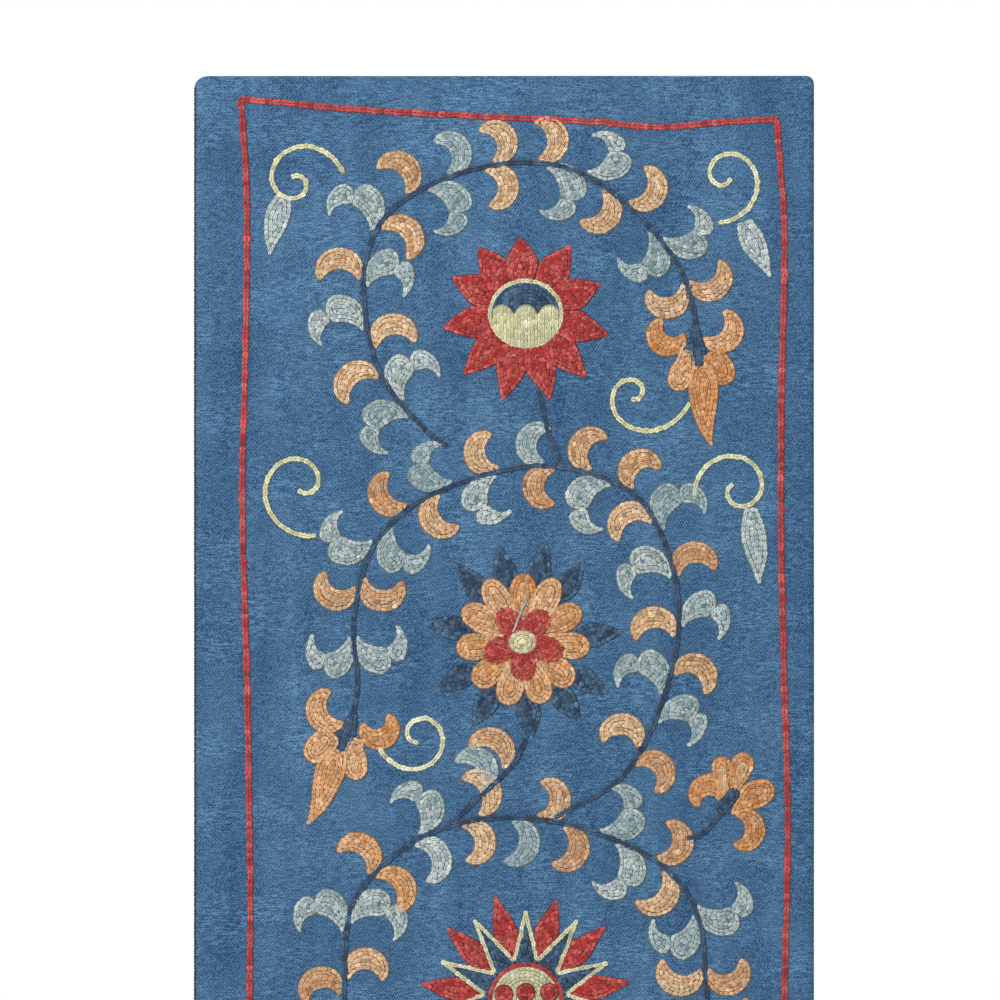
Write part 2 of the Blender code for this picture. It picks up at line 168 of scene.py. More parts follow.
# Tendrils: middle of the curl, radius and angle of its root, degrees that it sweeps, how fast it closes
Tendril = namedtuple("Tendril", "middle radius start sweep ease")
TENDRILS = [
    Tendril((-134, 69), 31, 11, 470, 2.0),
    Tendril((142, 65), 30, 263, 430, 1.7),
    Tendril((84.5, 204.5), 36, -10, -455, 2.6),
    Tendril((150.5, 267), 28, 190, -410, 1.2),
    Tendril((-130, 264), 34, -75, -400, 1.4),
    Tendril((-55.5, 426), 26, 196, 420, 1.3),
]
CURL_RADIUS = 4.5

# Lobes: the points of the middle line, and the half width at each; a last width above zero is rounded off
Lobe = namedtuple("Lobe", "spine widths")
SLENDER_LEAVES = [
    Lobe([(-142, 77), (-146, 90), (-149.5, 104), (-151, 116)], (4.5, 8, 5, 0)),
    Lobe([(155, 94), (160, 106), (167, 119), (172, 130)], (5, 8, 5, 0)),
    Lobe([(159, 279), (161, 295), (163.5, 312), (165, 328)], (4, 8, 6, 0)),
]

# Flowers: rings of petals round a middle. Each petal widens from its foot to its valley, where its
# neighbours part, and then narrows to its tip: to a point, or round. Angles run clockwise from straight up,
# in degrees. The tips of the lower petals lie further out than those of the upper ones, or nearer where
# lower is below zero. Each tip and each angle is a little off.
Petals = namedtuple("Petals", "angles foot foot_half valley half tip lower")
TIP_VARIES = 1.3
ANGLE_VARIES = 2
STAR_MIDDLE = np.array([14.0, 153.5])
STAR_RAYS = Petals((-5, 35, 70, 105, 135, 165, 195, 225, 260, 295, 325), 21, 6.4, 34, 10.2, 54.5, 3.5)
STAR_DISC = (23.0, 21.2)
ROSETTE_MIDDLE = np.array([12.0, 365.5])
ROSETTE_LEAVES = Petals((-15, 15, 40, 85, 120, 145, 175, 210, 240, 280, 320), 34, 3, 46, 7.8, 65.5, -1.5)
ROSETTE_PETALS = Petals((0, 30, 62, 95, 128, 162, 195, 228, 264, 298, 330), 12, 3.4, 31, 8.6, 43.5, -2)
ROSETTE_DROPS = Petals((36, 108, 180, 252, 324), 5, 4.2, 15, 8.0, 26, 0)
ROSETTE_DISC = (9.0, 7.5)
LOOSE_THREADS = [("grey", (16, 334), (6, 358)), ("red", (-5, 367.5), (1, 370.5))]
MIDDLE_COUNT = 11
MIDDLE_ANGLES = [360 / MIDDLE_COUNT * (i + 0.5) for i in range(MIDDLE_COUNT)]
MIDDLE_RAYS = Petals(MIDDLE_ANGLES, 27, 0.6, 46, 7.6, 69, 0)
MIDDLE_POINT_FOOT = 26.5
MIDDLE_POINT_TIP = 58.5
MIDDLE_DISC = (21.6, 21.6)
MIDDLE_RING = 23.1
MIDDLE_DOT = 5.8
MIDDLE_DOTS = [(-14.2, -4.2), (0, -5.2), (15.2, -5.2)]

# Palmette, drawn from the foot of its petals: the petals in orange and the cup in navy. Each of the two has
# its foot, the degrees that it is turned clockwise, and -1 where it is mirrored.
Palmette = namedtuple("Palmette", "foot angle hand")
PALMETTES = [Palmette((126, 188), 0, 1), Palmette((-106, 436), 15, -1)]
PALMETTE = [
    Lobe([(1, -1), (2.5, 10), (3, 20), (3.5, 30), (5, 41), (8, 51)], (6, 9.4, 9, 7, 4, 0)),
    Lobe([(-9, -11), (-8.5, -4), (-11, 3), (-13, 8)], (4, 6, 7.8, 7.4)),
    Lobe([(7, -10), (10, -5), (13.5, 1), (15, 3.5)], (6, 8, 8.8, 8.2)),
]
Moon = namedtuple("Moon", "start end height")
PALMETTE_CLAWS = [Moon((-10, -22), (-23, -31), 20), Moon((15, -36), (2.5, -19.5), 20.5)]
CALYX = Lobe([(-2.5, -27), (-2, -17), (-1, -8), (0, 0)], (1.6, 4.4, 5.2, 1))

# Tulip at the right of the ring: its petals, the paler hearts of two of them, and its cup
TULIP = [
    Lobe([(142, 465), (140.5, 454), (140.6, 446)], (2, 5.4, 6.6)),
    Lobe([(148, 463), (151.5, 451), (154, 444)], (2, 6.4, 7.2)),
    Lobe([(147, 476), (154, 470), (161, 464.5), (166.5, 462)], (1.5, 5.5, 9.0, 8.2)),
]
TULIP_MOONS = [Moon((126, 472), (139.6, 471.5), 20.5), Moon((149, 477), (148, 495.5), 19.5)]
TULIP_HEARTS = [
    Lobe([(142, 464), (141, 455), (141, 448)], (0.8, 2.4, 2.8)),
    Lobe([(149, 461), (152, 452), (154, 446)], (0.8, 2.8, 3.4)),
]
TULIP_CUP = Lobe([(138.5, 474.5), (148, 463.5)], (3.6, 3.8))

# Border line: its left, top and right runs in the upper half
BORDER_LEFT = [(-170, 15), (-166, 80), (-167, 180), (-169, 275), (-166, 390), (-164, 510), (-164, 596)]
BORDER_TOP = [(-170, 15), (-90, 22), (2, 27), (60, 30), (101, 33), (140, 30), (176, 28)]
BORDER_RIGHT = [(176, 28), (181, 105), (179, 210), (179, 310), (181, 400), (183, 485), (181, 596)]

# Chain lines: width and stitch length, tint from the thread's main colour at 0 to its pale one at 1, and
# lift. A leaf's root lies a share of the vine's width from its middle line.
Chain = namedtuple("Chain", "width length tint lift")
VINE_WIDTH = 3.7
LEAF_ROOT = 0.7
BORDER_CHAIN = Chain(4.9, 2.9, 0.2, 0)
VINE_CHAIN = Chain(VINE_WIDTH, 3.2, 0.25, 0.5)
TENDRIL_CHAIN = Chain(3.7, 2.7, 0.2, 0.15)
STAR_CHAIN = Chain(3.3, 2.8, 0.3, 0.35)
MIDDLE_CHAIN = Chain(3.0, 2.8, 0.1, 0.35)
ZIGZAG_CHAIN = Chain(3.1, 2.8, 0.3, 0.25)
LOOSE_CHAIN = Chain(1.1, 3.0, 0.7, 1.35)
PALER_TENDRIL = 0.4
BORDER_STEP = 2.0
VINE_STEP = 1.5
LINE_STEP = 1.0

# A stitch, as shares of its row's width: how far its legs reach to the side, and how thick they are. In a
# line each stitch runs further under the next one than in a fill, and the rows of a fill lap over each other
# a little. A flower's stitches are a share of the leaves' length, and one ply turns once in PLY_PITCH.
LEG_REACH = 0.49
LEG_RADIUS = 0.25
VINE_LEG_RADIUS = 0.22
LEG_STATIONS = np.array([0.24, 0.58, 0.88])
LEG_SIDES = 3
LEG_POINTS = 2 + LEG_SIDES * len(LEG_STATIONS)
LEG_FOOT = 0.15
FLATTEST_LEG = 0.42
LINE_OVERLAP = 1.5
FILL_OVERLAP = 1.2
ROW_OVERLAP = 1.12
FLOWER_STITCH = 0.95
PLY_PITCH = 1.5

# How uneven hand stitches are: in length and width as shares, in place in millimetres, and in tint
SHORTEST_ROW = 0.45
LENGTH_UNEVEN = 0.14
WIDTH_UNEVEN = 0.1
PLACE_UNEVEN = 0.2
FILL_TINTS = 0.25
LINE_TINTS = 0.12
OUTER_ROW_TINT = 0.15

# Pads under the stitches, shown in the thread's colour darkened as painted shade in the gaps between the legs,
# with a rim that paints a shadow line round each form: their top over the cloth, the rim past the outline, and
# their share of a line
SHADE_PAD_TOP = 0.3
SHADOW_RIM = 0.4
PAD_FOOT = -0.2
PAD_STEP = 1.9
PAD_SHARE = 0.30

# Steps along outlines, the turn in radians that makes a corner, how far apart a circle inside a form
# touches it twice, and the radius that stands for no second touch
FINE = 0.7
CORNER_TURN = 0.9
TOUCHES_APART = 2.0
FREE_REACH = 1e9

# The woven sheet's mesh, and the overcasting of its left edge
SHEET_COLUMNS = 96
SHEET_ROWS = 170
CORNER_ROWS = 10
EDGE_STEP = 1.6
EDGE_UNEVEN = 0.15
EDGE_OUT = 0.35
EDGE_IN = 0.9
EDGE_SLANT = 0.25
EDGE_WIDTH = 1.5
EDGE_HEIGHT = 0.35

# The stage: the lamps' gain, half the floor's side, the lamp, and the camera's place over the cloth
LIGHT_GAIN = 1.45
FLOOR_HALF = 3.0
LAMP_SIZE = 0.9
LAMP_PLACE = (-1.3, -1.9, 0.9)
LAMP_AIM = (0, 0, -0.3)
CAMERA_ACROSS = -0.00265
CAMERA_UP = -0.27373
SENSOR = 36.0


def linear(red, green, blue):
    """A colour read off the photo in 0 to 255, as scene light, with the lamps' gain taken out."""
    share = np.array([red, green, blue]) / 255
    value = np.where(share <= 0.04045, share / 12.92, ((share + 0.055) / 1.055) ** 2.4) / LIGHT_GAIN
    return tuple(float(v) for v in value)


def size_of(name, description, default):
    """A length that can be set, in metres."""
    return bpy.props.FloatProperty(name=name, description=description, default=default, unit="LENGTH")


def dye(name, description, *colour):
    """A colour that can be set, from 0 to 255."""
    return bpy.props.FloatVectorProperty(
        name=name, description=description, subtype="COLOR", size=3, default=linear(*colour))


class ClothSettings(bpy.types.PropertyGroup):
    """Sizes and colours of the ground cloth."""
    thickness: size_of("Thickness", "Thickness of the cloth", 0.0012)
    wale: size_of("Twill pitch", "Distance between the slanting lines of the weave", 0.00148)
    deep: dye("Deep", "Colour between the yarns", 17, 56, 94)
    pale: dye("Pale", "Colour of the yarns' crowns", 114, 162, 200)
    edge: dye("Edge", "Colour of the overcast edge", 60, 52, 60)


class ThreadSettings(bpy.types.PropertyGroup):
    """Sizes and colours of the stitches."""
    fill_pitch: size_of("Flower rows", "Distance between rows of stitches in the flowers", 0.0022)
    leaf_pitch: size_of("Leaf rows", "Distance between rows of stitches in the leaves", 0.0023)
    length: size_of("Stitch length", "Length of one stitch in the leaves", 0.0035)
    height: size_of("Height", "How far the stitches stand over the cloth", 0.00095)
    peach: dye("Peach", "Crescent leaves", 206, 153, 107)
    beige: dye("Beige", "Paler crescent leaves", 232, 204, 166)
    grey: dye("Grey", "Double leaves", 142, 170, 176)
    silver: dye("Silver", "Paler double leaves", 200, 210, 206)
    orange: dye("Orange", "Palmettes, tulip and rosette", 216, 147, 84)
    apricot: dye("Apricot", "Paler orange petals", 234, 194, 150)
    red: dye("Red", "Star petals", 182, 40, 40)
    crimson: dye("Crimson", "Border line", 162, 40, 50)
    rose: dye("Rose", "Faded red stitches", 226, 118, 106)
    cream: dye("Cream", "Tendrils and discs", 216, 212, 164)
    ivory: dye("Ivory", "Paler tendrils", 222, 224, 194)
    navy: dye("Navy", "Vines and dark leaves", 24, 54, 86)
    steel: dye("Steel", "Paler dark leaves", 84, 124, 156)


class StageSettings(bpy.types.PropertyGroup):
    """Where the floor, the lamp and the camera stand."""
    floor_drop: size_of("Floor", "How far the floor lies under the foot of the cloth", 0.15)
    camera_distance: size_of("Camera distance", "From the camera to the cloth", 3.2)
    view_height: size_of("Seen height", "How much of the cloth's plane the square view takes in", 0.64558)
    lamp_power: bpy.props.FloatProperty(
        name="Lamp", description="Power of the soft lamp", default=55.0, unit="POWER")


# Each thread's two colours, and how dark its underlay is: the underlay's darkened colour is painted shade
# between the stitches and round the forms
Thread = namedtuple("Thread", "slot main pale under")
THREADS = {
    "peach": Thread("thread_peach", "peach", "beige", 0.46),
    "grey": Thread("thread_grey", "grey", "silver", 0.48),
    "orange": Thread("thread_orange", "orange", "apricot", 0.46),
    "red": Thread("thread_red", "red", "rose", 0.36),
    "crimson": Thread("thread_red", "crimson", "rose", 0.42),
    "cream": Thread("thread_cream", "cream", "ivory", 0.55),
    "navy": Thread("thread_navy", "navy", "steel", 0.7),
}


def smooth_path(points, step):
    """A Catmull-Rom curve through the points, read again at even steps along its length."""
    p = np.asarray(points, float)
    p = np.vstack([2 * p[0] - p[1], p, 2 * p[-1] - p[-2]])
    t = np.linspace(0, 1, 24, endpoint=False)[:, None]
    runs = []
    for a, b, c, d in zip(p[:-3], p[1:-2], p[2:-1], p[3:]):
        runs.append(b + 0.5 * t * (c - a + t * (2 * a - 5 * b + 4 * c - d + t * (3 * b - a - 3 * c + d))))
    return even(np.vstack(runs + [p[-2:-1]]), step)


def lengths(path):
    """How far along the path each of its points lies."""
    return np.concatenate([[0], np.cumsum(np.linalg.norm(np.diff(path, axis=0), axis=1))])


def even(path, step):
    """The path read again at even steps along its length."""
    along = lengths(path)
    at = np.linspace(0, along[-1], max(2, round(along[-1] / step) + 1))
    return np.stack([np.interp(at, along, path[:, k]) for k in range(path.shape[1])], axis=1)


def directions(path):
    """The unit direction of a path at each of its points."""
    step = np.gradient(path, axis=0)
    return step / np.maximum(np.linalg.norm(step, axis=1), 1e-9)[:, None]


def turned(points, middle):
    """The points after half a turn about the middle."""
    return 2 * middle - points


def varied(seed):
    """A fixed number from -1 to 1 for each seed, from the fraction of a large sine."""
    return 2 * ((np.sin(seed * 12.9898) * 43758.5453) % 1) - 1


def band(spine, half_width, side=None):
    """The outline of a form: its middle line moved out by the half width, up one side and down the other."""
    if side is None:
        along = directions(spine)
        side = np.stack([-along[:, 1], along[:, 0]], axis=1)
    out = side * half_width[:, None]
    outline = np.vstack([spine + out, (spine - out)[::-1]])
    return outline[np.linalg.norm(outline - np.roll(outline, 1, axis=0), axis=1) > 0.02]


def lobe_outline(lobe):
    """A lobe's outline: a smooth middle line with smooth widths, and a half circle where it ends wide."""
    spine = np.asarray(lobe.spine, float)
    table = np.column_stack([spine, lobe.widths])
    dense = smooth_path(table, FINE)
    if lobe.widths[-1] > 0:
        end, onward = dense[-1], dense[-1, :2] - dense[-3, :2]
        onward = onward / np.linalg.norm(onward)
        turn = np.linspace(0, np.pi / 2, 9)[1:]
        cap = end[:2] + onward * (lobe.widths[-1] * np.sin(turn))[:, None]
        dense = np.vstack([dense, np.column_stack([cap, lobe.widths[-1] * np.cos(turn)])])
    return band(dense[:, :2], dense[:, 2].clip(0))


def outline_of(runs):
    """A closed outline of smooth runs that meet in corners."""
    return np.vstack([smooth_path(run, FINE)[:-1] for run in runs])


def moon(span, height):
    """A moon: an arc over the span between its tips, with half widths by a power of a cosine."""
    rise = MOON_SPINE * height
    radius = (span**2 / 4 + rise**2) / (2 * rise)
    reach = np.arccos((radius - rise) / radius)
    share = np.linspace(-1, 1, 41)
    spine = np.stack([span / 2 + radius * np.sin(reach * share),
                      rise - radius + radius * np.cos(reach * share)], axis=1)
    return band(spine, MOON_HALF_WIDTH * height * np.cos(share * np.pi / 2).clip(0) ** 0.62)


def moon_between(start, end, height):
    """A moon from tip to tip, with its belly to the left of the way from the start to the end."""
    run = np.subtract(end, start)
    span = np.linalg.norm(run)
    onward = run / span
    return np.array(start) + moon(span, height) @ np.array([onward, [onward[1], -onward[0]]])


def moon_leaf(size):
    """A moon-shaped leaf, as its one outline; its size is the share of the usual span."""
    return [moon(MOON_SPAN * size, MOON_HEIGHT)]


def double_leaf(size):
    """A leaf of two lobes on one inner arc; its size is the share of the usual span."""
    stretch = np.array([DOUBLE_SPAN * size, DOUBLE_HEIGHT])
    return [outline_of([np.array(run) * stretch for run in runs]) for runs in DOUBLE_LEAF]


def petal(middle, angle, petals, tip, point):
    """A petal: its half width grows as a sine from foot to valley, then falls as (1 - s^a)^b."""
    out = np.concatenate([np.linspace(petals.foot, petals.valley, 12, endpoint=False),
                          petals.valley + (tip - petals.valley) * np.sin(np.linspace(0, np.pi / 2, 26))])
    share = ((out - petals.valley) / (tip - petals.valley)).clip(0, 1)
    grown = ((out - petals.foot) / (petals.valley - petals.foot)).clip(0, 1)
    half = petals.foot_half + (petals.half - petals.foot_half) * np.sin(grown * np.pi / 2)
    half *= (1 - share**1.35) if point else np.sqrt(1 - share**2.3)
    angle = np.radians(angle)
    onward, side = np.array([np.sin(angle), -np.cos(angle)]), np.array([np.cos(angle), np.sin(angle)])
    return band(middle + out[:, None] * onward, half, side)


def oval(middle, half_across, half_down):
    """An oval outline."""
    turn = np.linspace(0, 2 * np.pi, 240, endpoint=False)
    return middle + np.stack([half_across * np.cos(turn), half_down * np.sin(turn)], axis=1)


def round_line(middle, half_across, half_down):
    """An oval line that ends where it starts."""
    turn = np.linspace(0, 2 * np.pi, 240)
    return even(middle + np.stack([half_across * np.cos(turn), half_down * np.sin(turn)], axis=1), LINE_STEP)


def ray(middle, angle, radius):
    """The point at a radius from the middle, at an angle in degrees clockwise from straight up."""
    angle = np.radians(angle)
    return middle + radius * np.stack([np.sin(angle), -np.cos(angle)], axis=-1)


def on_vine(path, station, side, lean, outlines):
    """A leaf's outlines set on its vine: the root on the line, and the span square to it but for the lean."""
    at = min(int(np.searchsorted(lengths(path), station)), len(path) - 2)
    root, back = path[at], -directions(path)[at]
    outward = side * np.array([back[1], -back[0]])
    lean = np.radians(lean)
    turn = np.array([[np.cos(lean), np.sin(lean)], [-np.sin(lean), np.cos(lean)]])
    local = turn @ np.stack([outward, back])
    return [root + outward * LEAF_ROOT * VINE_WIDTH + outline @ local for outline in outlines]


def stations_of(row):
    """Where the row's leaves stand: half of each leaf's share of the run lies before it and half after it."""
    share = np.array([DOUBLE_SHARE if kind == "d" else 1.0 for kind in row.kinds])
    at = np.cumsum(share) - share / 2
    return row.first + (row.last - row.first) * (at - at[0]) / (at[-1] - at[0])


def petal_ring(middle, petals, point):
    """One ring of petals; a tip lies lower * cos(angle) nearer than the ring's mean tip, more or less."""
    for i, angle in enumerate(petals.angles):
        tip = petals.tip - petals.lower * np.cos(np.radians(angle)) + TIP_VARIES * varied(i)
        yield petal(middle, angle + ANGLE_VARIES * varied(i + 0.3), petals, tip, point)


def swell(points):
    """How far the hung cloth stands forward: upright ripples that deepen downwards, a slow wave and creases.

    A crease is a bell curve across its line, times a bell curve along it.
    """
    across, down = points[:, 0], points[:, 1]
    depth = SWELL * (SWELL_AT_TOP + (1 - SWELL_AT_TOP) * down / LENGTH)
    forward = depth * np.sin(2 * np.pi * across / SWELL_PITCH + down / SWELL_SLANT)
    forward += SAG * np.sin(2 * np.pi * down / SAG_PITCH + across / SAG_SLANT)
    for crease in CREASES:
        spot = np.array([crease.across, crease.down])
        lean = np.radians(crease.lean)
        for middle in (spot, turned(spot, MIDDLE)):
            off = points - middle
            along = off @ np.array([np.sin(lean), np.cos(lean)])
            beside = off @ np.array([np.cos(lean), -np.sin(lean)])
            forward += crease.depth * np.exp(-(beside / crease.width) ** 2 - (2 * along / crease.length) ** 2)
    return forward


def placed(flat, up):
    """World places in metres of points on the cloth that stand so far over its face."""
    y = -cloth().thickness / 2 / MM - up - swell(flat)
    return np.stack([flat[:, 0], y, -flat[:, 1]], axis=1) * MM


def cloth():
    return bpy.context.scene.hanging_cloth


def thread():
    return bpy.context.scene.hanging_thread


def outward(vertices, triangles):
    """The triangles, turned over if the closed surface that they make is inside out."""
    a, b, c = (vertices[triangles[:, k]] for k in range(3))
    volume = np.einsum("ij,ij->i", a, np.cross(b, c)).sum()
    return triangles if volume > 0 else triangles[:, ::-1]


def new_piece(name, vertices, triangles, attributes, material, slot):
    """A mesh object made from whole arrays, with its own attributes, that rides on the cloth's body."""
    mesh = bpy.data.meshes.new(name)
    mesh.vertices.add(len(vertices))
    mesh.vertices.foreach_set("co", vertices.astype(np.float32).ravel())
    mesh.loops.add(triangles.size)
    mesh.loops.foreach_set("vertex_index", triangles.astype(np.int32).ravel())
    mesh.polygons.add(len(triangles))
    mesh.polygons.foreach_set("loop_start", np.arange(0, triangles.size, 3, dtype=np.int32))
    mesh.polygons.foreach_set("use_smooth", np.ones(len(triangles), bool))
    for key, values in attributes.items():
        kind, field = ("FLOAT_VECTOR", "vector") if values.ndim == 2 else ("FLOAT", "value")
        mesh.attributes.new(key, kind, "POINT").data.foreach_set(field, values.astype(np.float32).ravel())
    mesh.materials.append(material)
    mesh.update(calc_edges=True)
    mesh.validate()
    piece = bpy.data.objects.new(name, mesh)
    bpy.context.scene.collection.objects.link(piece)
    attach(piece, BODY)
    return piece


def closed_ring(outline, step):
    """A closed outline at even steps, the direction inwards at each point, and 1 or -1 for its way round."""
    ring = even(np.vstack([outline, outline[:1]]), step)[:-1]
    after = np.roll(ring, -1, axis=0)
    way = np.sign((ring[:, 0] * after[:, 1] - after[:, 0] * ring[:, 1]).sum())
    tangent = after - np.roll(ring, 1, axis=0)
    tangent /= np.maximum(np.linalg.norm(tangent, axis=1), 1e-9)[:, None]
    return ring, np.stack([-tangent[:, 1], tangent[:, 0]], axis=1) * way, way


def half_thickness(ring, inward):
    """At each point of a closed outline, the radius of the largest circle that touches it from inside.

    A circle through the point p and another point q, tangent at p, has the radius |q - p|^2 / (2 n.(q - p)).
    """
    apart = ring[None] - ring[:, None]
    square = (apart**2).sum(axis=2)
    ahead = (apart * inward[:, None]).sum(axis=2)
    touches = (ahead > 1e-6) & (square > TOUCHES_APART**2)
    radius = np.where(touches, square / np.maximum(2 * ahead, 1e-9), FREE_REACH)
    return radius.min(axis=1)


def corners_of(ring):
    """Where a closed outline turns sharply."""
    before, after = ring - np.roll(ring, 2, axis=0), np.roll(ring, -2, axis=0) - ring
    cross = before[:, 0] * after[:, 1] - before[:, 1] * after[:, 0]
    turn = np.abs(np.arctan2(cross, (before * after).sum(axis=1)))
    peak = (turn >= np.roll(turn, 1)) & (turn > np.roll(turn, -1)) & (turn > CORNER_TURN)
    return np.flatnonzero(peak)


def runs_of(keep, breaks):
    """Index runs round a closed outline where keep holds, cut at the breaks."""
    count = len(keep)
    if keep.all() and not len(breaks):
        return [np.arange(count + 1) % count]
    start = breaks[0] if len(breaks) else int(np.flatnonzero(~keep)[0])
    order = (start + np.arange(count + 1)) % count
    cut = np.zeros(count, bool)
    cut[breaks] = True
    runs, run = [], []
    for i in order:
        if keep[i]:
            run.append(i)
        if (cut[i] or not keep[i]) and run:
            if len(run) > 1:
                runs.append(np.array(run))
            run = [i] if keep[i] else []
    if len(run) > 1:
        runs.append(np.array(run))
    return runs


def contour_rows(outline, pitch):
    """Rows of stitches that follow a closed outline inwards, as (path, row width at each point, level).

    Row k lies (k + 1/2) widths inside the outline. It ends where the form is too narrow for it, but the
    outermost row draws in instead, so that it runs right into the tips.
    """
    ring, inward, _ = closed_ring(outline, FINE)
    reach = half_thickness(ring, inward)
    sharp = corners_of(ring)
    widest = np.sort(reach[reach < FREE_REACH / 10])[-max(3, len(ring) // 12)]
    count = max(1, round(widest / pitch))
    width = widest / count
    rows = []
    for k in range(count):
        offset = (k + 0.5) * width
        keep = np.ones(len(ring), bool) if k == 0 else reach > offset - 0.22 * width
        depth = np.minimum(offset, (0.62 if k == 0 else 0.98) * reach)
        for run in runs_of(keep, sharp):
            path = ring[run] + inward[run] * depth[run, None]
            rows.append((path, 2 * np.minimum(width / 2, 0.3 * width + 0.5 * depth[run]), k))
    return rows


def stitches_along(path, widths, length, random):
    """Stitches from end to end of a path, as (start, end, width) rows: near even, each a little off."""
    along = lengths(path)
    total = along[-1]
    if total < SHORTEST_ROW * length:
        return np.zeros((0, 5))
    count = max(1, round(total / length))
    at = np.linspace(0, total, count + 1)
    at[1:-1] += random.normal(0, LENGTH_UNEVEN * length, count - 1).clip(-0.4 * length, 0.4 * length)
    points = np.stack([np.interp(at, along, path[:, k]) for k in (0, 1)], axis=1)
    points[1:-1] += random.normal(0, PLACE_UNEVEN, (count - 1, 2))
    width = np.interp((at[1:] + at[:-1]) / 2, along, widths) * random.normal(1, WIDTH_UNEVEN, count)
    return np.column_stack([points[:-1], points[1:], width])


def stitch_arrays(stitches, height, tint, random, overlap=FILL_OVERLAP, leg_radius=LEG_RADIUS):
    """Two legs a stitch: each a thin tube that starts at the foot, bulges to its side and closes at the tip.

    Along the leg t runs from 0 to 1. Its middle lies (reach - radius) * sin(pi t^1.4)^0.6 to the side, and
    it rises from near the cloth to the full height and back as sin(pi t)^0.5.
    """
    count = len(stitches)
    start, end, width = stitches[:, 0:2], stitches[:, 2:4], stitches[:, 4]
    run = end - start
    length = np.linalg.norm(run, axis=1)
    along = run / length[:, None]
    side = np.stack([-along[:, 1], along[:, 0]], axis=1)
    rings = len(LEG_STATIONS)
    t = np.concatenate([[0], np.repeat(LEG_STATIONS, LEG_SIDES), [1]])
    ring_side = np.concatenate([[0], np.tile([1, 0, -1], rings), [0]])
    ring_up = np.concatenate([[0], np.tile([-0.5, 1, -0.5], rings), [0]])
    bulge = np.sin(np.pi * t**1.4).clip(0) ** 0.6
    rise = np.sin(np.pi * t).clip(0) ** 0.5
    flat, up, ply = [], [], []
    for sign in (1, -1):
        reach = (overlap * length)[:, None] * t
        aside = width[:, None] * (sign * (LEG_REACH - leg_radius) * bulge + leg_radius * ring_side)
        radius = np.minimum(leg_radius * width, height * FLATTEST_LEG)[:, None]
        lift = LEG_FOOT + (height - LEG_FOOT - radius) * rise + radius * ring_up
        flat.append(start[:, None] + reach[..., None] * along[:, None] + aside[..., None] * side[:, None])
        up.append(lift)
        # The spin round the leg carries the plies' twist and the painted shade of the leg's lower sides.
        spin = np.broadcast_to(np.stack([ring_side, ring_up], axis=1), (count, len(t), 2))
        ply.append(np.concatenate([spin, reach[..., None]], axis=2))
    flat, up, ply = (np.stack(part, axis=1) for part in (flat, up, ply))
    k = np.arange(LEG_SIDES)
    n = (k + 1) % LEG_SIDES
    tip = LEG_POINTS - 1
    first = np.stack([np.zeros(LEG_SIDES, int), 1 + k, 1 + n], axis=1)
    last = np.stack([np.full(LEG_SIDES, tip), tip - LEG_SIDES + n, tip - LEG_SIDES + k], axis=1)
    tube = []
    for near in 1 + LEG_SIDES * np.arange(rings - 1):
        far = near + LEG_SIDES
        tube.append(np.stack([near + k, far + k, far + n], axis=1))
        tube.append(np.stack([near + k, far + n, near + n], axis=1))
    leg = np.vstack([first, last, *tube])
    triangles = (leg[None] + LEG_POINTS * np.arange(2 * count)[:, None, None]).reshape(-1, 3)
    shade = np.repeat(random.normal(0, 1, count), 2 * LEG_POINTS)
    tints = np.repeat(tint, 2 * LEG_POINTS)
    return flat.reshape(-1, 2), up.ravel(), ply.reshape(-1, 3), shade, tints, triangles


def pad_arrays(outline, top, margin):
    """A flat pad: the outline moved out by a margin, filled, and closed by a wall and a back."""
    ring, inward, way = closed_ring(outline, PAD_STEP)
    ring = ring - inward * margin
    count = len(ring)
    filled = np.array(tessellate_polygon([[Vector((x, y, 0)) for x, y in ring]]))
    i = np.arange(count)
    j = (i + 1) % count
    walls = np.vstack([np.stack([i, j, count + j], axis=1), np.stack([i, count + j, count + i], axis=1)])
    a, b, c = ring[filled[0]]
    turn = (b[0] - a[0]) * (c[1] - a[1]) - (b[1] - a[1]) * (c[0] - a[0])
    if turn * way < 0:
        filled = filled[:, ::-1]
    triangles = np.vstack([filled, filled[:, ::-1] + count, walls[:, ::-1]])
    if way < 0:
        triangles = triangles[:, ::-1]
    return np.vstack([ring, ring]), np.concatenate([np.full(count, top), np.full(count, PAD_FOOT)]), triangles


def rows_down(left, right, top, foot, pitch):
    """Upright rows between a top and a foot that are each given as a function of across."""
    count = max(1, round((right - left) / pitch))
    across = left + (np.arange(count) + 0.5) * (right - left) / count
    rows = []
    for x, y0, y1 in zip(across, top(across), foot(across)):
        path = even(np.array([[x, y0], [x, y1]]), FINE)
        rows.append((path, np.full(len(path), ROW_OVERLAP * (right - left) / count), 1))
    return rows


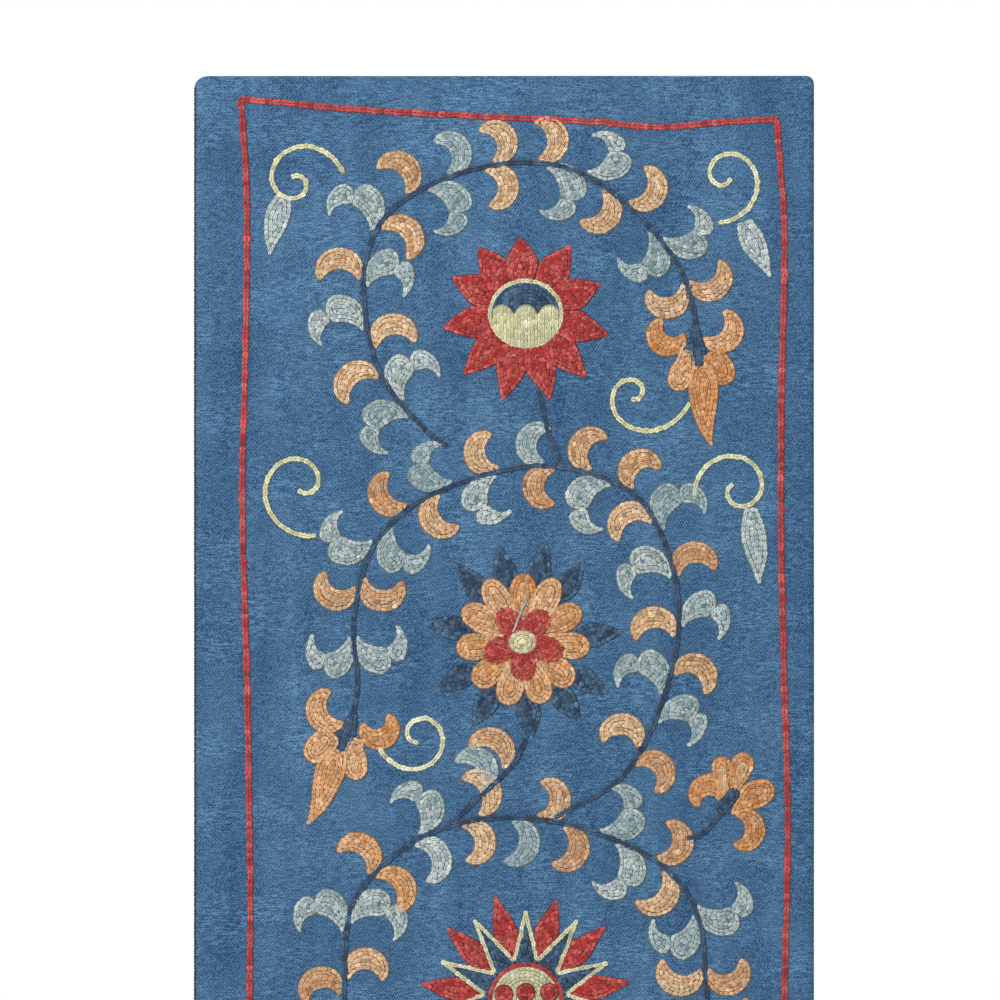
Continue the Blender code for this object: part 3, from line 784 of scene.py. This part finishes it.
class Work:
    """What one thread works in one piece: its stitches and the dark pads of painted shade under them, gathered
    before the mesh.
    """

    def __init__(self, name, colour, seed, leaf=False, leg_radius=LEG_RADIUS):
        self.name, self.colour, self.leg_radius = name, colour, leg_radius
        self.random = np.random.default_rng(seed)
        self.rows, self.tints, self.pads, self.lifts, self.overlaps = [], [], [], [], []
        self.height = thread().height / MM
        self.pitch = (thread().leaf_pitch if leaf else thread().fill_pitch) / MM
        self.length = (1 if leaf else FLOWER_STITCH) * thread().length / MM

    def add_rows(self, rows, length, tint, lift=0.0, overlap=FILL_OVERLAP, mixed=FILL_TINTS):
        """Works rows of stitches of mixed tints; the outermost rows of a form are a little paler."""
        for path, widths, level in rows:
            found = stitches_along(path, widths, length, self.random)
            pale = tint + (OUTER_ROW_TINT if level == 0 else 0.0)
            self.rows.append(found)
            self.tints.append(pale + self.random.normal(0, mixed, len(found)))
            self.lifts.append(np.full(len(found), lift))
            self.overlaps.append(np.full(len(found), overlap))

    def fill(self, outline, tint=0.0, lift=0.0, middle=None):
        """Fills an outline with rows, and once more turned about the middle."""
        for points in [outline] if middle is None else [outline, turned(outline, middle)]:
            rows = [(path, ROW_OVERLAP * widths, k) for path, widths, k in contour_rows(points, self.pitch)]
            self.add_rows(rows, self.length, tint, lift)
            self.pads.append((points, SHADE_PAD_TOP + lift))

    def fill_all(self, outlines, tint, lift, middle=MIDDLE):
        """Fills several outlines alike, and makes the piece."""
        for outline in outlines:
            self.fill(outline, tint, lift, middle)
        self.finish()

    def line(self, path, chain, middle=None):
        """Works one row along a path, and once more turned about the middle."""
        for points in [path] if middle is None else [path, turned(path, middle)]:
            row = (points, np.full(len(points), chain.width), 1)
            self.add_rows([row], chain.length, chain.tint, chain.lift, LINE_OVERLAP, LINE_TINTS)
            # The band under the line shows the thread darkened: painted shade between the legs.
            pad = band(points, np.full(len(points), PAD_SHARE * chain.width))
            self.pads.append((pad, SHADE_PAD_TOP + chain.lift))

    def finish(self):
        """Makes the piece."""
        flat, up, ply, shade, tints, triangles = stitch_arrays(
            np.vstack(self.rows), self.height, np.concatenate(self.tints), self.random,
            np.concatenate(self.overlaps), self.leg_radius)
        up = up + np.repeat(np.concatenate(self.lifts), 2 * LEG_POINTS)
        parts = [(placed(flat, up), triangles, ply, shade, tints, np.zeros(len(flat)))]
        # The pads are marked 1 in under: they show the thread darkened, as painted shade and a painted shadow
        # line round the form.
        for outline, top in self.pads:
            points, lift, faces = pad_arrays(outline, top, SHADOW_RIM)
            blank = np.zeros(len(points))
            parts.append((placed(points, lift), faces, np.zeros((len(points), 3)), blank, blank, blank + 1))
        vertices, faces, done = [], [], 0
        for part in parts:
            vertices.append(part[0])
            faces.append(outward(part[0], part[1]) + done)
            done += len(part[0])
        attributes = {key: np.concatenate([part[k] for part in parts])
                      for k, key in ((2, "ply"), (3, "shade"), (4, "tint"), (5, "under"))}
        return new_piece(self.name, np.vstack(vertices), np.vstack(faces), attributes,
                         thread_material(self.colour), THREADS[self.colour].slot)


class Graph:
    """A node tree with short calls: add makes a node and sets or links its inputs by name."""

    def __init__(self, tree):
        self.tree = tree

    def add(self, kind, inputs=None, **settings):
        node = self.tree.nodes.new(kind)
        for key, value in settings.items():
            setattr(node, key, value)
        for key, value in (inputs or {}).items():
            if isinstance(value, bpy.types.NodeSocket):
                self.tree.links.new(value, node.inputs[key])
            else:
                node.inputs[key].default_value = value
        return node

    def math(self, operation, a, b=0.0, c=0.0, clamp=False):
        return self.add("ShaderNodeMath", {0: a, 1: b, 2: c}, operation=operation, use_clamp=clamp).outputs[0]

    def mix(self, factor, a, b, blend="MIX"):
        node = self.add("ShaderNodeMix", {0: factor, 6: a, 7: b}, data_type="RGBA", blend_type=blend)
        return node.outputs[2]

    def noise(self, vector, scale, detail=2.0, rough=0.5):
        return self.add("ShaderNodeTexNoise", {"Vector": vector, "Scale": scale, "Detail": detail,
                                               "Roughness": rough}).outputs["Fac"]

    def ramp(self, value, low, high, to_low=0.0, to_high=1.0):
        return self.add("ShaderNodeMapRange", {0: value, 1: low, 2: high, 3: to_low, 4: to_high}).outputs[0]

    def attribute(self, name, output="Fac"):
        return self.add("ShaderNodeAttribute", attribute_name=name).outputs[output]

    def stretched(self, vector, scale):
        return self.add("ShaderNodeMapping", {"Vector": vector, "Scale": scale}).outputs[0]


def group(name, colours, number):
    """A new shader node group from colours and a number to a look, as (group, graph, inputs, output node)."""
    made = bpy.data.node_groups.new(name, "ShaderNodeTree")
    for key in colours:
        made.interface.new_socket(key, in_out="INPUT", socket_type="NodeSocketColor")
    made.interface.new_socket(number, in_out="INPUT", socket_type="NodeSocketFloat")
    for key, kind in (("Color", "Color"), ("Roughness", "Float"), ("Height", "Float")):
        made.interface.new_socket(key, in_out="OUTPUT", socket_type="NodeSocket" + kind)
    graph = Graph(made)
    return made, graph, graph.add("NodeGroupInput").outputs, graph.add("NodeGroupOutput")


def thread_look():
    """Twisted thread: two colours mixed by the tint, stitches lighter or darker, plies and fibres, with painted
    shade on the lower sides of each leg and on the pads, which show the thread darkened.
    """
    name = "thread_look"
    if name in bpy.data.node_groups:
        return bpy.data.node_groups[name]
    made, g, given, out = group(name, ("Main", "Pale"), "Under")
    place = g.add("ShaderNodeTexCoord").outputs["Object"]
    ply = g.add("ShaderNodeSeparateXYZ", {0: g.attribute("ply", "Vector")}).outputs
    angle = g.math("MULTIPLY", ply[2], 2 * np.pi / PLY_PITCH)
    twist = g.math("ADD", g.math("MULTIPLY", g.math("SINE", angle), ply[1]),
                   g.math("MULTIPLY", g.math("COSINE", angle), ply[0]))
    fibre = g.noise(place, 2600.0, 2.0, 0.6)
    patch = g.noise(place, 150.0, 2.0)
    tint = g.math("ADD", g.attribute("tint"), g.ramp(patch, 0.3, 0.7, -0.25, 0.25), clamp=True)
    colour = g.mix(tint, given["Main"], given["Pale"])
    light = g.math("MULTIPLY_ADD", g.attribute("shade"), 0.15, 1.03)
    # Painted shade: each leg is lighter on its top and darker on its lower sides, as light from above would
    # fall.
    light = g.math("MULTIPLY", light, g.ramp(ply[1], -1.0, 1.0, 0.74, 1.06))
    light = g.math("MULTIPLY_ADD", twist, 0.12, light)
    light = g.math("MULTIPLY", light, g.ramp(fibre, 0.25, 0.75, 0.84, 1.16))
    # Painted shade: the pads show the thread's colour darkened by the pad shade value, for shadow in the gaps
    # between the legs and round the forms.
    dark = g.math("MULTIPLY", given["Under"], g.ramp(fibre, 0.25, 0.75, 0.7, 1.3))
    light = g.add("ShaderNodeMix", {0: g.attribute("under"), 2: light, 3: dark}).outputs[0]
    shaded = g.add("ShaderNodeVectorMath", {0: colour, "Scale": light}, operation="SCALE").outputs[0]
    g.tree.links.new(shaded, out.inputs["Color"])
    g.tree.links.new(g.ramp(fibre, 0.2, 0.8, 0.62, 0.9), out.inputs["Roughness"])
    g.tree.links.new(g.math("MULTIPLY_ADD", twist, 0.6, fibre), out.inputs["Height"])
    return made


def woven_look():
    """Twill: slanting lines broken into yarn crowns, sideways slubs, upright streaks and cloudy fading."""
    name = "woven_look"
    if name in bpy.data.node_groups:
        return bpy.data.node_groups[name]
    made, g, given, out = group(name, ("Deep", "Pale"), "Wale")
    place = g.add("ShaderNodeTexCoord").outputs["Object"]
    xyz = g.add("ShaderNodeSeparateXYZ", {0: place}).outputs
    wander = g.math("MULTIPLY", g.math("SUBTRACT", g.noise(place, 330.0, 2.0), 0.5), 0.0011)
    slant = np.radians(57)
    off = g.math("SUBTRACT", g.math("MULTIPLY", xyz[0], float(np.sin(slant))),
                 g.math("MULTIPLY", xyz[2], float(np.cos(slant))))
    phase = g.math("DIVIDE", g.math("ADD", off, wander), given["Wale"])
    wale = g.math("MULTIPLY_ADD", g.math("SINE", g.math("MULTIPLY", phase, 2 * np.pi)), 0.5, 0.5)
    tilted = g.add("ShaderNodeMapping", {"Vector": place, "Rotation": (0, -np.radians(28), 0)}).outputs[0]
    yarn = g.noise(g.stretched(tilted, (1.0, 1.0, 0.6)), 1600.0, 1.0, 0.5)
    fleck = g.noise(g.stretched(tilted, (1.0, 1.0, 0.7)), 800.0, 2.0, 0.6)
    slub = g.noise(g.stretched(place, (0.10, 1.0, 1.0)), 1700.0, 1.0, 0.5)
    streak = g.noise(g.stretched(place, (1.0, 1.0, 0.16)), 38.0, 3.0, 0.55)
    cloud = g.noise(place, 13.0, 3.0, 0.55)
    slubby = g.ramp(g.noise(g.stretched(place, (0.6, 1.0, 1.6)), 24.0, 1.0), 0.40, 0.64, 0.4, 1.0)
    crown = g.math("MULTIPLY", wale, 0.34)
    crown = g.math("MULTIPLY_ADD", g.ramp(yarn, 0.36, 0.64), 0.38, crown)
    crown = g.math("MULTIPLY_ADD", g.ramp(fleck, 0.36, 0.68), 0.16, crown)
    crown = g.math("MULTIPLY_ADD", g.math("MULTIPLY", g.ramp(slub, 0.46, 0.60), slubby), 0.36, crown)
    tone = g.math("MULTIPLY_ADD", g.ramp(streak, 0.32, 0.68, -0.5, 0.5), 0.15, crown)
    tone = g.math("MULTIPLY_ADD", g.ramp(cloud, 0.3, 0.7, -0.5, 0.5), 0.10, tone)
    colour = g.mix(g.math("SUBTRACT", tone, 0.24, clamp=True), given["Deep"], given["Pale"])
    g.tree.links.new(colour, out.inputs["Color"])
    g.tree.links.new(g.ramp(yarn, 0.3, 0.7, 0.84, 0.96), out.inputs["Roughness"])
    g.tree.links.new(g.math("ADD", crown, 0.0), out.inputs["Height"])
    return made


def set_inputs(node, values):
    for key, value in values.items():
        node.inputs[key].default_value = value


def matt_material(name, look, values, bump, sheen):
    """A matt fibre material: a look group with its values, and its height as a bump."""
    made = bpy.data.materials.new(name)
    made.use_nodes = True
    g = Graph(made.node_tree)
    shader = made.node_tree.nodes["Principled BSDF"]
    finish = g.add("ShaderNodeGroup", node_tree=look)
    set_inputs(finish, values)
    raised = g.add("ShaderNodeBump", {"Height": finish.outputs["Height"], "Strength": 0.6, "Distance": bump})
    made.node_tree.links.new(finish.outputs["Color"], shader.inputs["Base Color"])
    made.node_tree.links.new(finish.outputs["Roughness"], shader.inputs["Roughness"])
    made.node_tree.links.new(raised.outputs["Normal"], shader.inputs["Normal"])
    set_inputs(shader, {"Specular IOR Level": 0.22, "Sheen Weight": sheen, "Sheen Roughness": 0.5})
    return made


def thread_material(colour):
    """The material of one thread."""
    name = f"thread_{colour}"
    if name in bpy.data.materials:
        return bpy.data.materials[name]
    kind = THREADS[colour]
    values = {"Main": (*getattr(thread(), kind.main), 1), "Pale": (*getattr(thread(), kind.pale), 1),
              "Under": kind.under}
    return matt_material(name, thread_look(), values, 0.00012, 0.12)


def cloth_material(name, deep, pale):
    """The woven cloth's material, or its edge's."""
    values = {"Deep": (*deep, 1), "Pale": (*pale, 1), "Wale": cloth().wale}
    return matt_material(name, woven_look(), values, 0.00025, 0.06)


def edge_at(down):
    """The cloth's left and right edges at each height, drawn in as a quarter oval at each corner."""
    def inset(corner, from_end):
        share = (1 - from_end / corner.beside).clip(0, 1)
        return corner.along * (1 - np.sqrt(1 - share**2))
    left = inset(TOP_LEFT, down) + inset(TOP_RIGHT, LENGTH - down)
    right = inset(TOP_RIGHT, down) + inset(TOP_LEFT, LENGTH - down)
    return -WIDTH / 2 + left, WIDTH / 2 - right


class HANGING_OT_cloth(bpy.types.Operator):
    """Weaves the ground cloth: a thin closed sheet on the ripples of its solid"""
    bl_idname = "hanging.cloth"
    bl_label = "Ground cloth"

    def execute(self, context):
        corner = np.linspace(0, TOP_LEFT.beside, CORNER_ROWS)
        down = np.unique(np.concatenate([np.linspace(0, LENGTH, SHEET_ROWS), corner, LENGTH - corner]))
        left, right = edge_at(down)
        share = np.linspace(0, 1, SHEET_COLUMNS)
        across = left[:, None] + share * (right - left)[:, None]
        flat = np.stack([across, np.broadcast_to(down[:, None], across.shape)], axis=-1).reshape(-1, 2)
        front = placed(flat, np.zeros(len(flat)))
        back = front + np.array([0, cloth().thickness, 0])
        index = np.arange(len(flat)).reshape(len(down), SHEET_COLUMNS)
        quads = (index[:-1, :-1], index[:-1, 1:], index[1:, 1:], index[1:, :-1])
        a, b, c, d = (part.ravel() for part in quads)
        face = np.vstack([np.stack([a, b, c], axis=1), np.stack([a, c, d], axis=1)])
        rim = np.concatenate([index[0, :-1], index[:-1, -1], index[-1, :0:-1], index[:0:-1, 0]])
        onward = np.roll(rim, -1)
        offset = len(flat)
        walls = np.vstack([np.stack([rim, rim + offset, onward + offset], axis=1),
                           np.stack([rim, onward + offset, onward], axis=1)])
        triangles = np.vstack([face, face[:, ::-1] + offset, walls])
        vertices = np.vstack([front, back])
        made = new_piece("woven_panel", vertices, outward(vertices, triangles), {},
                         cloth_material("indigo_twill", cloth().deep, cloth().pale), "ground_indigo")
        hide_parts(NODE)
        return {"FINISHED"}


class HANGING_OT_edge(bpy.types.Operator):
    """Overcasts the left edge with small dark stitches"""
    bl_idname = "hanging.edge"
    bl_label = "Overcast edge"

    def execute(self, context):
        random = np.random.default_rng(11)
        down = np.arange(TOP_LEFT.beside, LENGTH - TOP_RIGHT.beside, EDGE_STEP)
        down = down + random.normal(0, EDGE_UNEVEN, len(down))
        left, _ = edge_at(down)
        start = np.stack([left - EDGE_OUT, down + EDGE_SLANT], axis=1)
        end = np.stack([left + EDGE_IN + random.normal(0, EDGE_UNEVEN, len(down)), down - EDGE_SLANT], axis=1)
        stitches = np.column_stack([start, end, np.full(len(down), EDGE_WIDTH)])
        flat, up, ply, shade, tints, triangles = stitch_arrays(
            stitches, EDGE_HEIGHT, np.zeros(len(down)), random)
        vertices = placed(flat, up)
        attributes = {"ply": ply, "shade": shade, "tint": tints, "under": np.zeros(len(flat))}
        values = {"Main": (*cloth().edge, 1), "Pale": (*cloth().deep, 1), "Under": 0.3}
        dark = matt_material("edge_thread", thread_look(), values, 0.0001, 0.05)
        new_piece("overcast_edge", vertices, outward(vertices, triangles), attributes, dark, "thread_navy")
        return {"FINISHED"}


class HANGING_OT_border(bpy.types.Operator):
    """Works the red border line, one chain of large stitches"""
    bl_idname = "hanging.border"
    bl_label = "Border line"

    def execute(self, context):
        work = Work("border_line", "crimson", 1)
        for run in (BORDER_LEFT, BORDER_TOP, BORDER_RIGHT):
            work.line(smooth_path(run, BORDER_STEP), BORDER_CHAIN, MIDDLE)
        work.finish()
        return {"FINISHED"}


class HANGING_OT_vines(bpy.types.Operator):
    """Works the navy vines and stems, each one chain"""
    bl_idname = "hanging.vines"
    bl_label = "Vines"

    def execute(self, context):
        work = Work("vine_stitches", "navy", 2, leg_radius=VINE_LEG_RADIUS)
        for name, points in VINES.items():
            work.line(smooth_path(points, VINE_STEP), VINE_CHAIN, RING_MIDDLE if name in ON_RING else MIDDLE)
        work.finish()
        return {"FINISHED"}


class HANGING_OT_tendrils(bpy.types.Operator):
    """Works the cream tendrils, spirals that close inwards, and the slender leaves under them"""
    bl_idname = "hanging.tendrils"
    bl_label = "Tendrils"

    def execute(self, context):
        work = Work("tendril_stitches", "cream", 3)
        for i, curl in enumerate(TENDRILS):
            share = np.linspace(0, 1, 160)
            angle = np.radians(curl.start + curl.sweep * share)
            reach = CURL_RADIUS + (curl.radius - CURL_RADIUS) * (1 - share) ** curl.ease
            path = np.array(curl.middle) + np.stack([reach * np.cos(angle), -reach * np.sin(angle)], axis=1)
            chain = TENDRIL_CHAIN._replace(tint=TENDRIL_CHAIN.tint + PALER_TENDRIL * (i % 2))
            work.line(even(path, LINE_STEP), chain, MIDDLE)
        work.finish()
        slender = Work("slender_leaf_stitches", "grey", 4, leaf=True)
        slender.fill_all([lobe_outline(lobe) for lobe in SLENDER_LEAVES], 0.75, 0.0)
        return {"FINISHED"}


class HANGING_OT_leaves(bpy.types.Operator):
    """Works the leaves on the vines: peach crescents, grey double leaves and a few orange crescents"""
    bl_idname = "hanging.leaves"
    bl_label = "Leaves"

    def execute(self, context):
        kinds = {"c": ("peach", moon_leaf), "o": ("orange", moon_leaf), "g": ("grey", moon_leaf),
                 "d": ("grey", double_leaf)}
        for half, first in (("upper", 20), ("lower", 25)):
            works = {colour: Work(f"{half}_{colour}_leaves", colour, first + i, leaf=True)
                     for i, colour in enumerate(("peach", "grey", "orange"))}
            for row in LEAVES:
                path = smooth_path(VINES[row.vine], STATION_STEP)
                middle = RING_MIDDLE if row.vine in ON_RING else MIDDLE
                for kind, station in zip(row.kinds, stations_of(row)):
                    colour, shape = kinds[kind]
                    seed = round(station) + 0.5 * row.side
                    tint = 0.5 + 0.35 * varied(seed)
                    lean = LEAF_LEAN + LEAN_VARIES * varied(seed + 0.2)
                    size = 1 + SPAN_VARIES * varied(seed + 0.4)
                    for outline in on_vine(path, station, row.side, lean, shape(size)):
                        if half == "lower":
                            outline = turned(outline, middle)
                        works[colour].fill(outline, tint)
            for work in works.values():
                work.finish()
        return {"FINISHED"}


class HANGING_OT_star(bpy.types.Operator):
    """Works the red star flower with its cream ring, navy field and scalloped cream field"""
    bl_idname = "hanging.star"
    bl_label = "Star flower"

    def execute(self, context):
        Work("star_petals", "red", 40).fill_all(petal_ring(STAR_MIDDLE, STAR_RAYS, True), 0.2, 0.0)
        field = oval(STAR_MIDDLE, STAR_DISC[0] - 1, STAR_DISC[1] - 1)
        Work("star_field", "navy", 41).fill_all([field], 0.45, 0.2)
        cream = Work("star_disc", "cream", 42)
        cream.line(round_line(STAR_MIDDLE, *STAR_DISC), STAR_CHAIN, MIDDLE)
        half = STAR_DISC[0] - 2
        rows = rows_down(STAR_MIDDLE[0] - half, STAR_MIDDLE[0] + half, self.humps, self.bowl, cream.pitch)
        for found in (rows, [(turned(path, MIDDLE), widths, k) for path, widths, k in rows]):
            cream.add_rows(found, cream.length, 0.25, 0.7, LINE_OVERLAP)
        across = np.linspace(-half, half, 60) + STAR_MIDDLE[0]
        field = np.vstack([np.stack([across, self.humps(across)], axis=1),
                           np.stack([across, self.bowl(across)], axis=1)[::-1]])
        # The pads under the cream field show the cream darkened: painted shade between the legs.
        cream.pads += [(field, SHADE_PAD_TOP + 0.9), (turned(field, MIDDLE), SHADE_PAD_TOP + 0.9)]
        cream.finish()
        return {"FINISHED"}

    def humps(self, across):
        """The upper edge of the cream field: three humps with narrow valleys between them."""
        share = (across - STAR_MIDDLE[0]) / STAR_DISC[0]
        return STAR_MIDDLE[1] + 4.0 - 9.5 * np.abs(np.cos(1.5 * np.pi * share)) ** 0.45

    def bowl(self, across):
        """The lower edge of the cream field, inside the ring."""
        share = (across - STAR_MIDDLE[0]) / STAR_DISC[0]
        return STAR_MIDDLE[1] + (STAR_DISC[1] - 1.2) * np.sqrt((1 - share**2).clip(0))


class HANGING_OT_rosette(bpy.types.Operator):
    """Works the rosette: navy leaves, orange petals, red drops, a cream middle and two loose threads"""
    bl_idname = "hanging.rosette"
    bl_label = "Rosette"

    def execute(self, context):
        leaves = petal_ring(ROSETTE_MIDDLE, ROSETTE_LEAVES, True)
        Work("rosette_leaves", "navy", 50).fill_all(leaves, 0.4, -0.25)
        orange = Work("rosette_petals", "orange", 51)
        for i, outline in enumerate(petal_ring(ROSETTE_MIDDLE, ROSETTE_PETALS, False)):
            orange.fill(outline, 0.55 + 0.3 * varied(i), 0.4, MIDDLE)
        orange.finish()
        drops = petal_ring(ROSETTE_MIDDLE, ROSETTE_DROPS, False)
        Work("rosette_drops", "red", 52).fill_all(drops, 0.1, 0.85)
        Work("rosette_disc", "cream", 53).fill_all([oval(ROSETTE_MIDDLE, *ROSETTE_DISC)], 0.3, 1.15)
        for colour, start, end in LOOSE_THREADS:
            loose = Work(f"loose_{colour}_thread", colour, 54)
            loose.line(even(np.array([start, end], float), LINE_STEP), LOOSE_CHAIN, MIDDLE)
            loose.finish()
        return {"FINISHED"}


class HANGING_OT_middle_flower(bpy.types.Operator):
    """Works the flower in the ring: red rays, navy points in a cream zigzag, and a cream disc with dots"""
    bl_idname = "hanging.middle_flower"
    bl_label = "Middle flower"

    def execute(self, context):
        red = Work("middle_rays", "red", 60)
        for outline in petal_ring(RING_MIDDLE, MIDDLE_RAYS, True):
            red.fill(outline, 0.15)
        red.line(round_line(RING_MIDDLE, MIDDLE_RING, MIDDLE_RING), MIDDLE_CHAIN)
        for dot in MIDDLE_DOTS:
            red.fill(oval(RING_MIDDLE + np.array(dot), MIDDLE_DOT, MIDDLE_DOT), 0.1, 1.1)
        red.finish()
        navy, cream = Work("middle_points", "navy", 61), Work("middle_zigzag", "cream", 62)
        half = 180 / MIDDLE_COUNT
        for i in range(MIDDLE_COUNT):
            angle = 2 * half * i
            tip = ray(RING_MIDDLE, angle, MIDDLE_POINT_TIP + 2 * varied(i))
            feet = [ray(RING_MIDDLE, angle + side * half, MIDDLE_POINT_FOOT) for side in (-1, 1)]
            inner = [ray(RING_MIDDLE, angle + side * 0.9 * half, MIDDLE_POINT_FOOT - 3) for side in (-1, 1)]
            corners = [inner[0], feet[0], tip, feet[1], inner[1], inner[0]]
            sides = [even(np.vstack(ends), LINE_STEP)[:-1] for ends in zip(corners, corners[1:])]
            navy.fill(np.vstack(sides), 0.5, 0.05)
            for foot in feet:
                cream.line(even(np.vstack([foot, tip]), LINE_STEP), ZIGZAG_CHAIN)
        cream.fill(oval(RING_MIDDLE, *MIDDLE_DISC), 0.35, 0.3)
        navy.finish()
        cream.finish()
        return {"FINISHED"}


class HANGING_OT_palmettes(bpy.types.Operator):
    """Works the two palmettes at the ends of the vines, each with its navy cup"""
    bl_idname = "hanging.palmettes"
    bl_label = "Palmettes"

    def execute(self, context):
        orange, navy = Work("palmette_petals", "orange", 70), Work("palmette_cups", "navy", 71)
        for foot, angle, hand in PALMETTES:
            angle = np.radians(angle)
            local = np.array([[hand * np.cos(angle), hand * np.sin(angle)], [-np.sin(angle), np.cos(angle)]])
            navy.fill(foot + lobe_outline(CALYX) @ local, 0.25, 0.25, MIDDLE)
            for i, lobe in enumerate(PALMETTE):
                tint = 0.5 + 0.3 * varied(i + angle)
                orange.fill(foot + lobe_outline(lobe) @ local, tint, 0.1, MIDDLE)
            for i, claw in enumerate(PALMETTE_CLAWS):
                orange.fill(foot + moon_between(*claw) @ local, 0.45 + 0.25 * varied(i), 0.1, MIDDLE)
        orange.finish()
        navy.finish()
        return {"FINISHED"}


class HANGING_OT_tulip(bpy.types.Operator):
    """Works the tulip beside the ring, with the paler hearts of its upright petals"""
    bl_idname = "hanging.tulip"
    bl_label = "Tulip"

    def execute(self, context):
        petals = [lobe_outline(lobe) for lobe in TULIP] + [moon_between(*claw) for claw in TULIP_MOONS]
        Work("tulip_petals", "orange", 80).fill_all(petals, 0.15, 0.1, RING_MIDDLE)
        Work("tulip_cup", "navy", 81).fill_all([lobe_outline(TULIP_CUP)], 0.3, 0.75, RING_MIDDLE)
        hearts = [lobe_outline(lobe) for lobe in TULIP_HEARTS]
        Work("tulip_hearts", "peach", 82).fill_all(hearts, 0.35, 0.45, RING_MIDDLE)
        return {"FINISHED"}


class HANGING_OT_stage(bpy.types.Operator):
    """Sets the pale floor, the white surroundings, the soft lamp and the camera"""
    bl_idname = "hanging.stage"
    bl_label = "Stage"

    def execute(self, context):
        scene, stage = context.scene, context.scene.hanging_stage
        low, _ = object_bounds()
        half = FLOOR_HALF
        depth = low.z - stage.floor_drop
        mesh = bpy.data.meshes.new("floor")
        corners = [(x, y, depth) for x, y in ((-half, -half), (half, -half), (half, half), (-half, half))]
        mesh.from_pydata(corners, [], [(0, 1, 2, 3)])
        floor = bpy.data.objects.new("floor", mesh)
        scene.collection.objects.link(floor)
        pale = bpy.data.materials.new("pale_floor")
        pale.use_nodes = True
        set_inputs(pale.node_tree.nodes["Principled BSDF"], {"Base Color": (0.8, 0.8, 0.8, 1), "Roughness": 0.9})
        mesh.materials.append(pale)
        floor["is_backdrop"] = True

        world = bpy.data.worlds.new("white_surroundings")
        world.use_nodes = True
        set_inputs(world.node_tree.nodes["Background"], {"Color": (1, 1, 1, 1), "Strength": 1.0})
        scene.world = world

        lamp_data = bpy.data.lights.new("soft_lamp", "AREA")
        lamp_data.shape, lamp_data.size = "DISK", LAMP_SIZE
        lamp_data.energy = stage.lamp_power
        lamp = bpy.data.objects.new("soft_lamp", lamp_data)
        lamp.location = LAMP_PLACE
        lamp.rotation_euler = (Vector(LAMP_AIM) - lamp.location).to_track_quat("-Z", "Y").to_euler()
        scene.collection.objects.link(lamp)

        camera_data = bpy.data.cameras.new("camera")
        camera_data.type = "PERSP"
        camera_data.sensor_width = SENSOR
        camera_data.lens = SENSOR * stage.camera_distance / stage.view_height
        camera_data.clip_end = 50.0
        camera = bpy.data.objects.new("camera", camera_data)
        camera.location = (CAMERA_ACROSS, -stage.camera_distance, CAMERA_UP)
        camera.rotation_euler = (np.pi / 2, 0, 0)
        scene.collection.objects.link(camera)
        scene.camera = camera
        scene.view_settings.view_transform = "Standard"
        return {"FINISHED"}


OPERATORS = [HANGING_OT_cloth, HANGING_OT_edge, HANGING_OT_border, HANGING_OT_vines, HANGING_OT_tendrils,
             HANGING_OT_leaves, HANGING_OT_star, HANGING_OT_rosette, HANGING_OT_middle_flower,
             HANGING_OT_palmettes, HANGING_OT_tulip, HANGING_OT_stage]


class HANGING_PT_panel(bpy.types.Panel):
    """Lists the pieces of the hanging"""
    bl_label = "Wall hanging"
    bl_space_type = "VIEW_3D"
    bl_region_type = "UI"
    bl_category = "Hanging"

    def draw(self, context):
        for operator in OPERATORS:
            self.layout.operator(operator.bl_idname)


SETTINGS = {"hanging_cloth": ClothSettings, "hanging_thread": ThreadSettings, "hanging_stage": StageSettings}


def register():
    for kind in [*SETTINGS.values(), *OPERATORS, HANGING_PT_panel]:
        bpy.utils.register_class(kind)
    for name, kind in SETTINGS.items():
        setattr(bpy.types.Scene, name, bpy.props.PointerProperty(type=kind))


def unregister():
    for name in SETTINGS:
        delattr(bpy.types.Scene, name)
    for kind in [HANGING_PT_panel, *OPERATORS[::-1], *SETTINGS.values()]:
        bpy.utils.unregister_class(kind)


def main():
    register()
    for operator in OPERATORS:
        getattr(bpy.ops.hanging, operator.bl_idname.split(".")[1])()


if __name__ == "__main__":
    main()
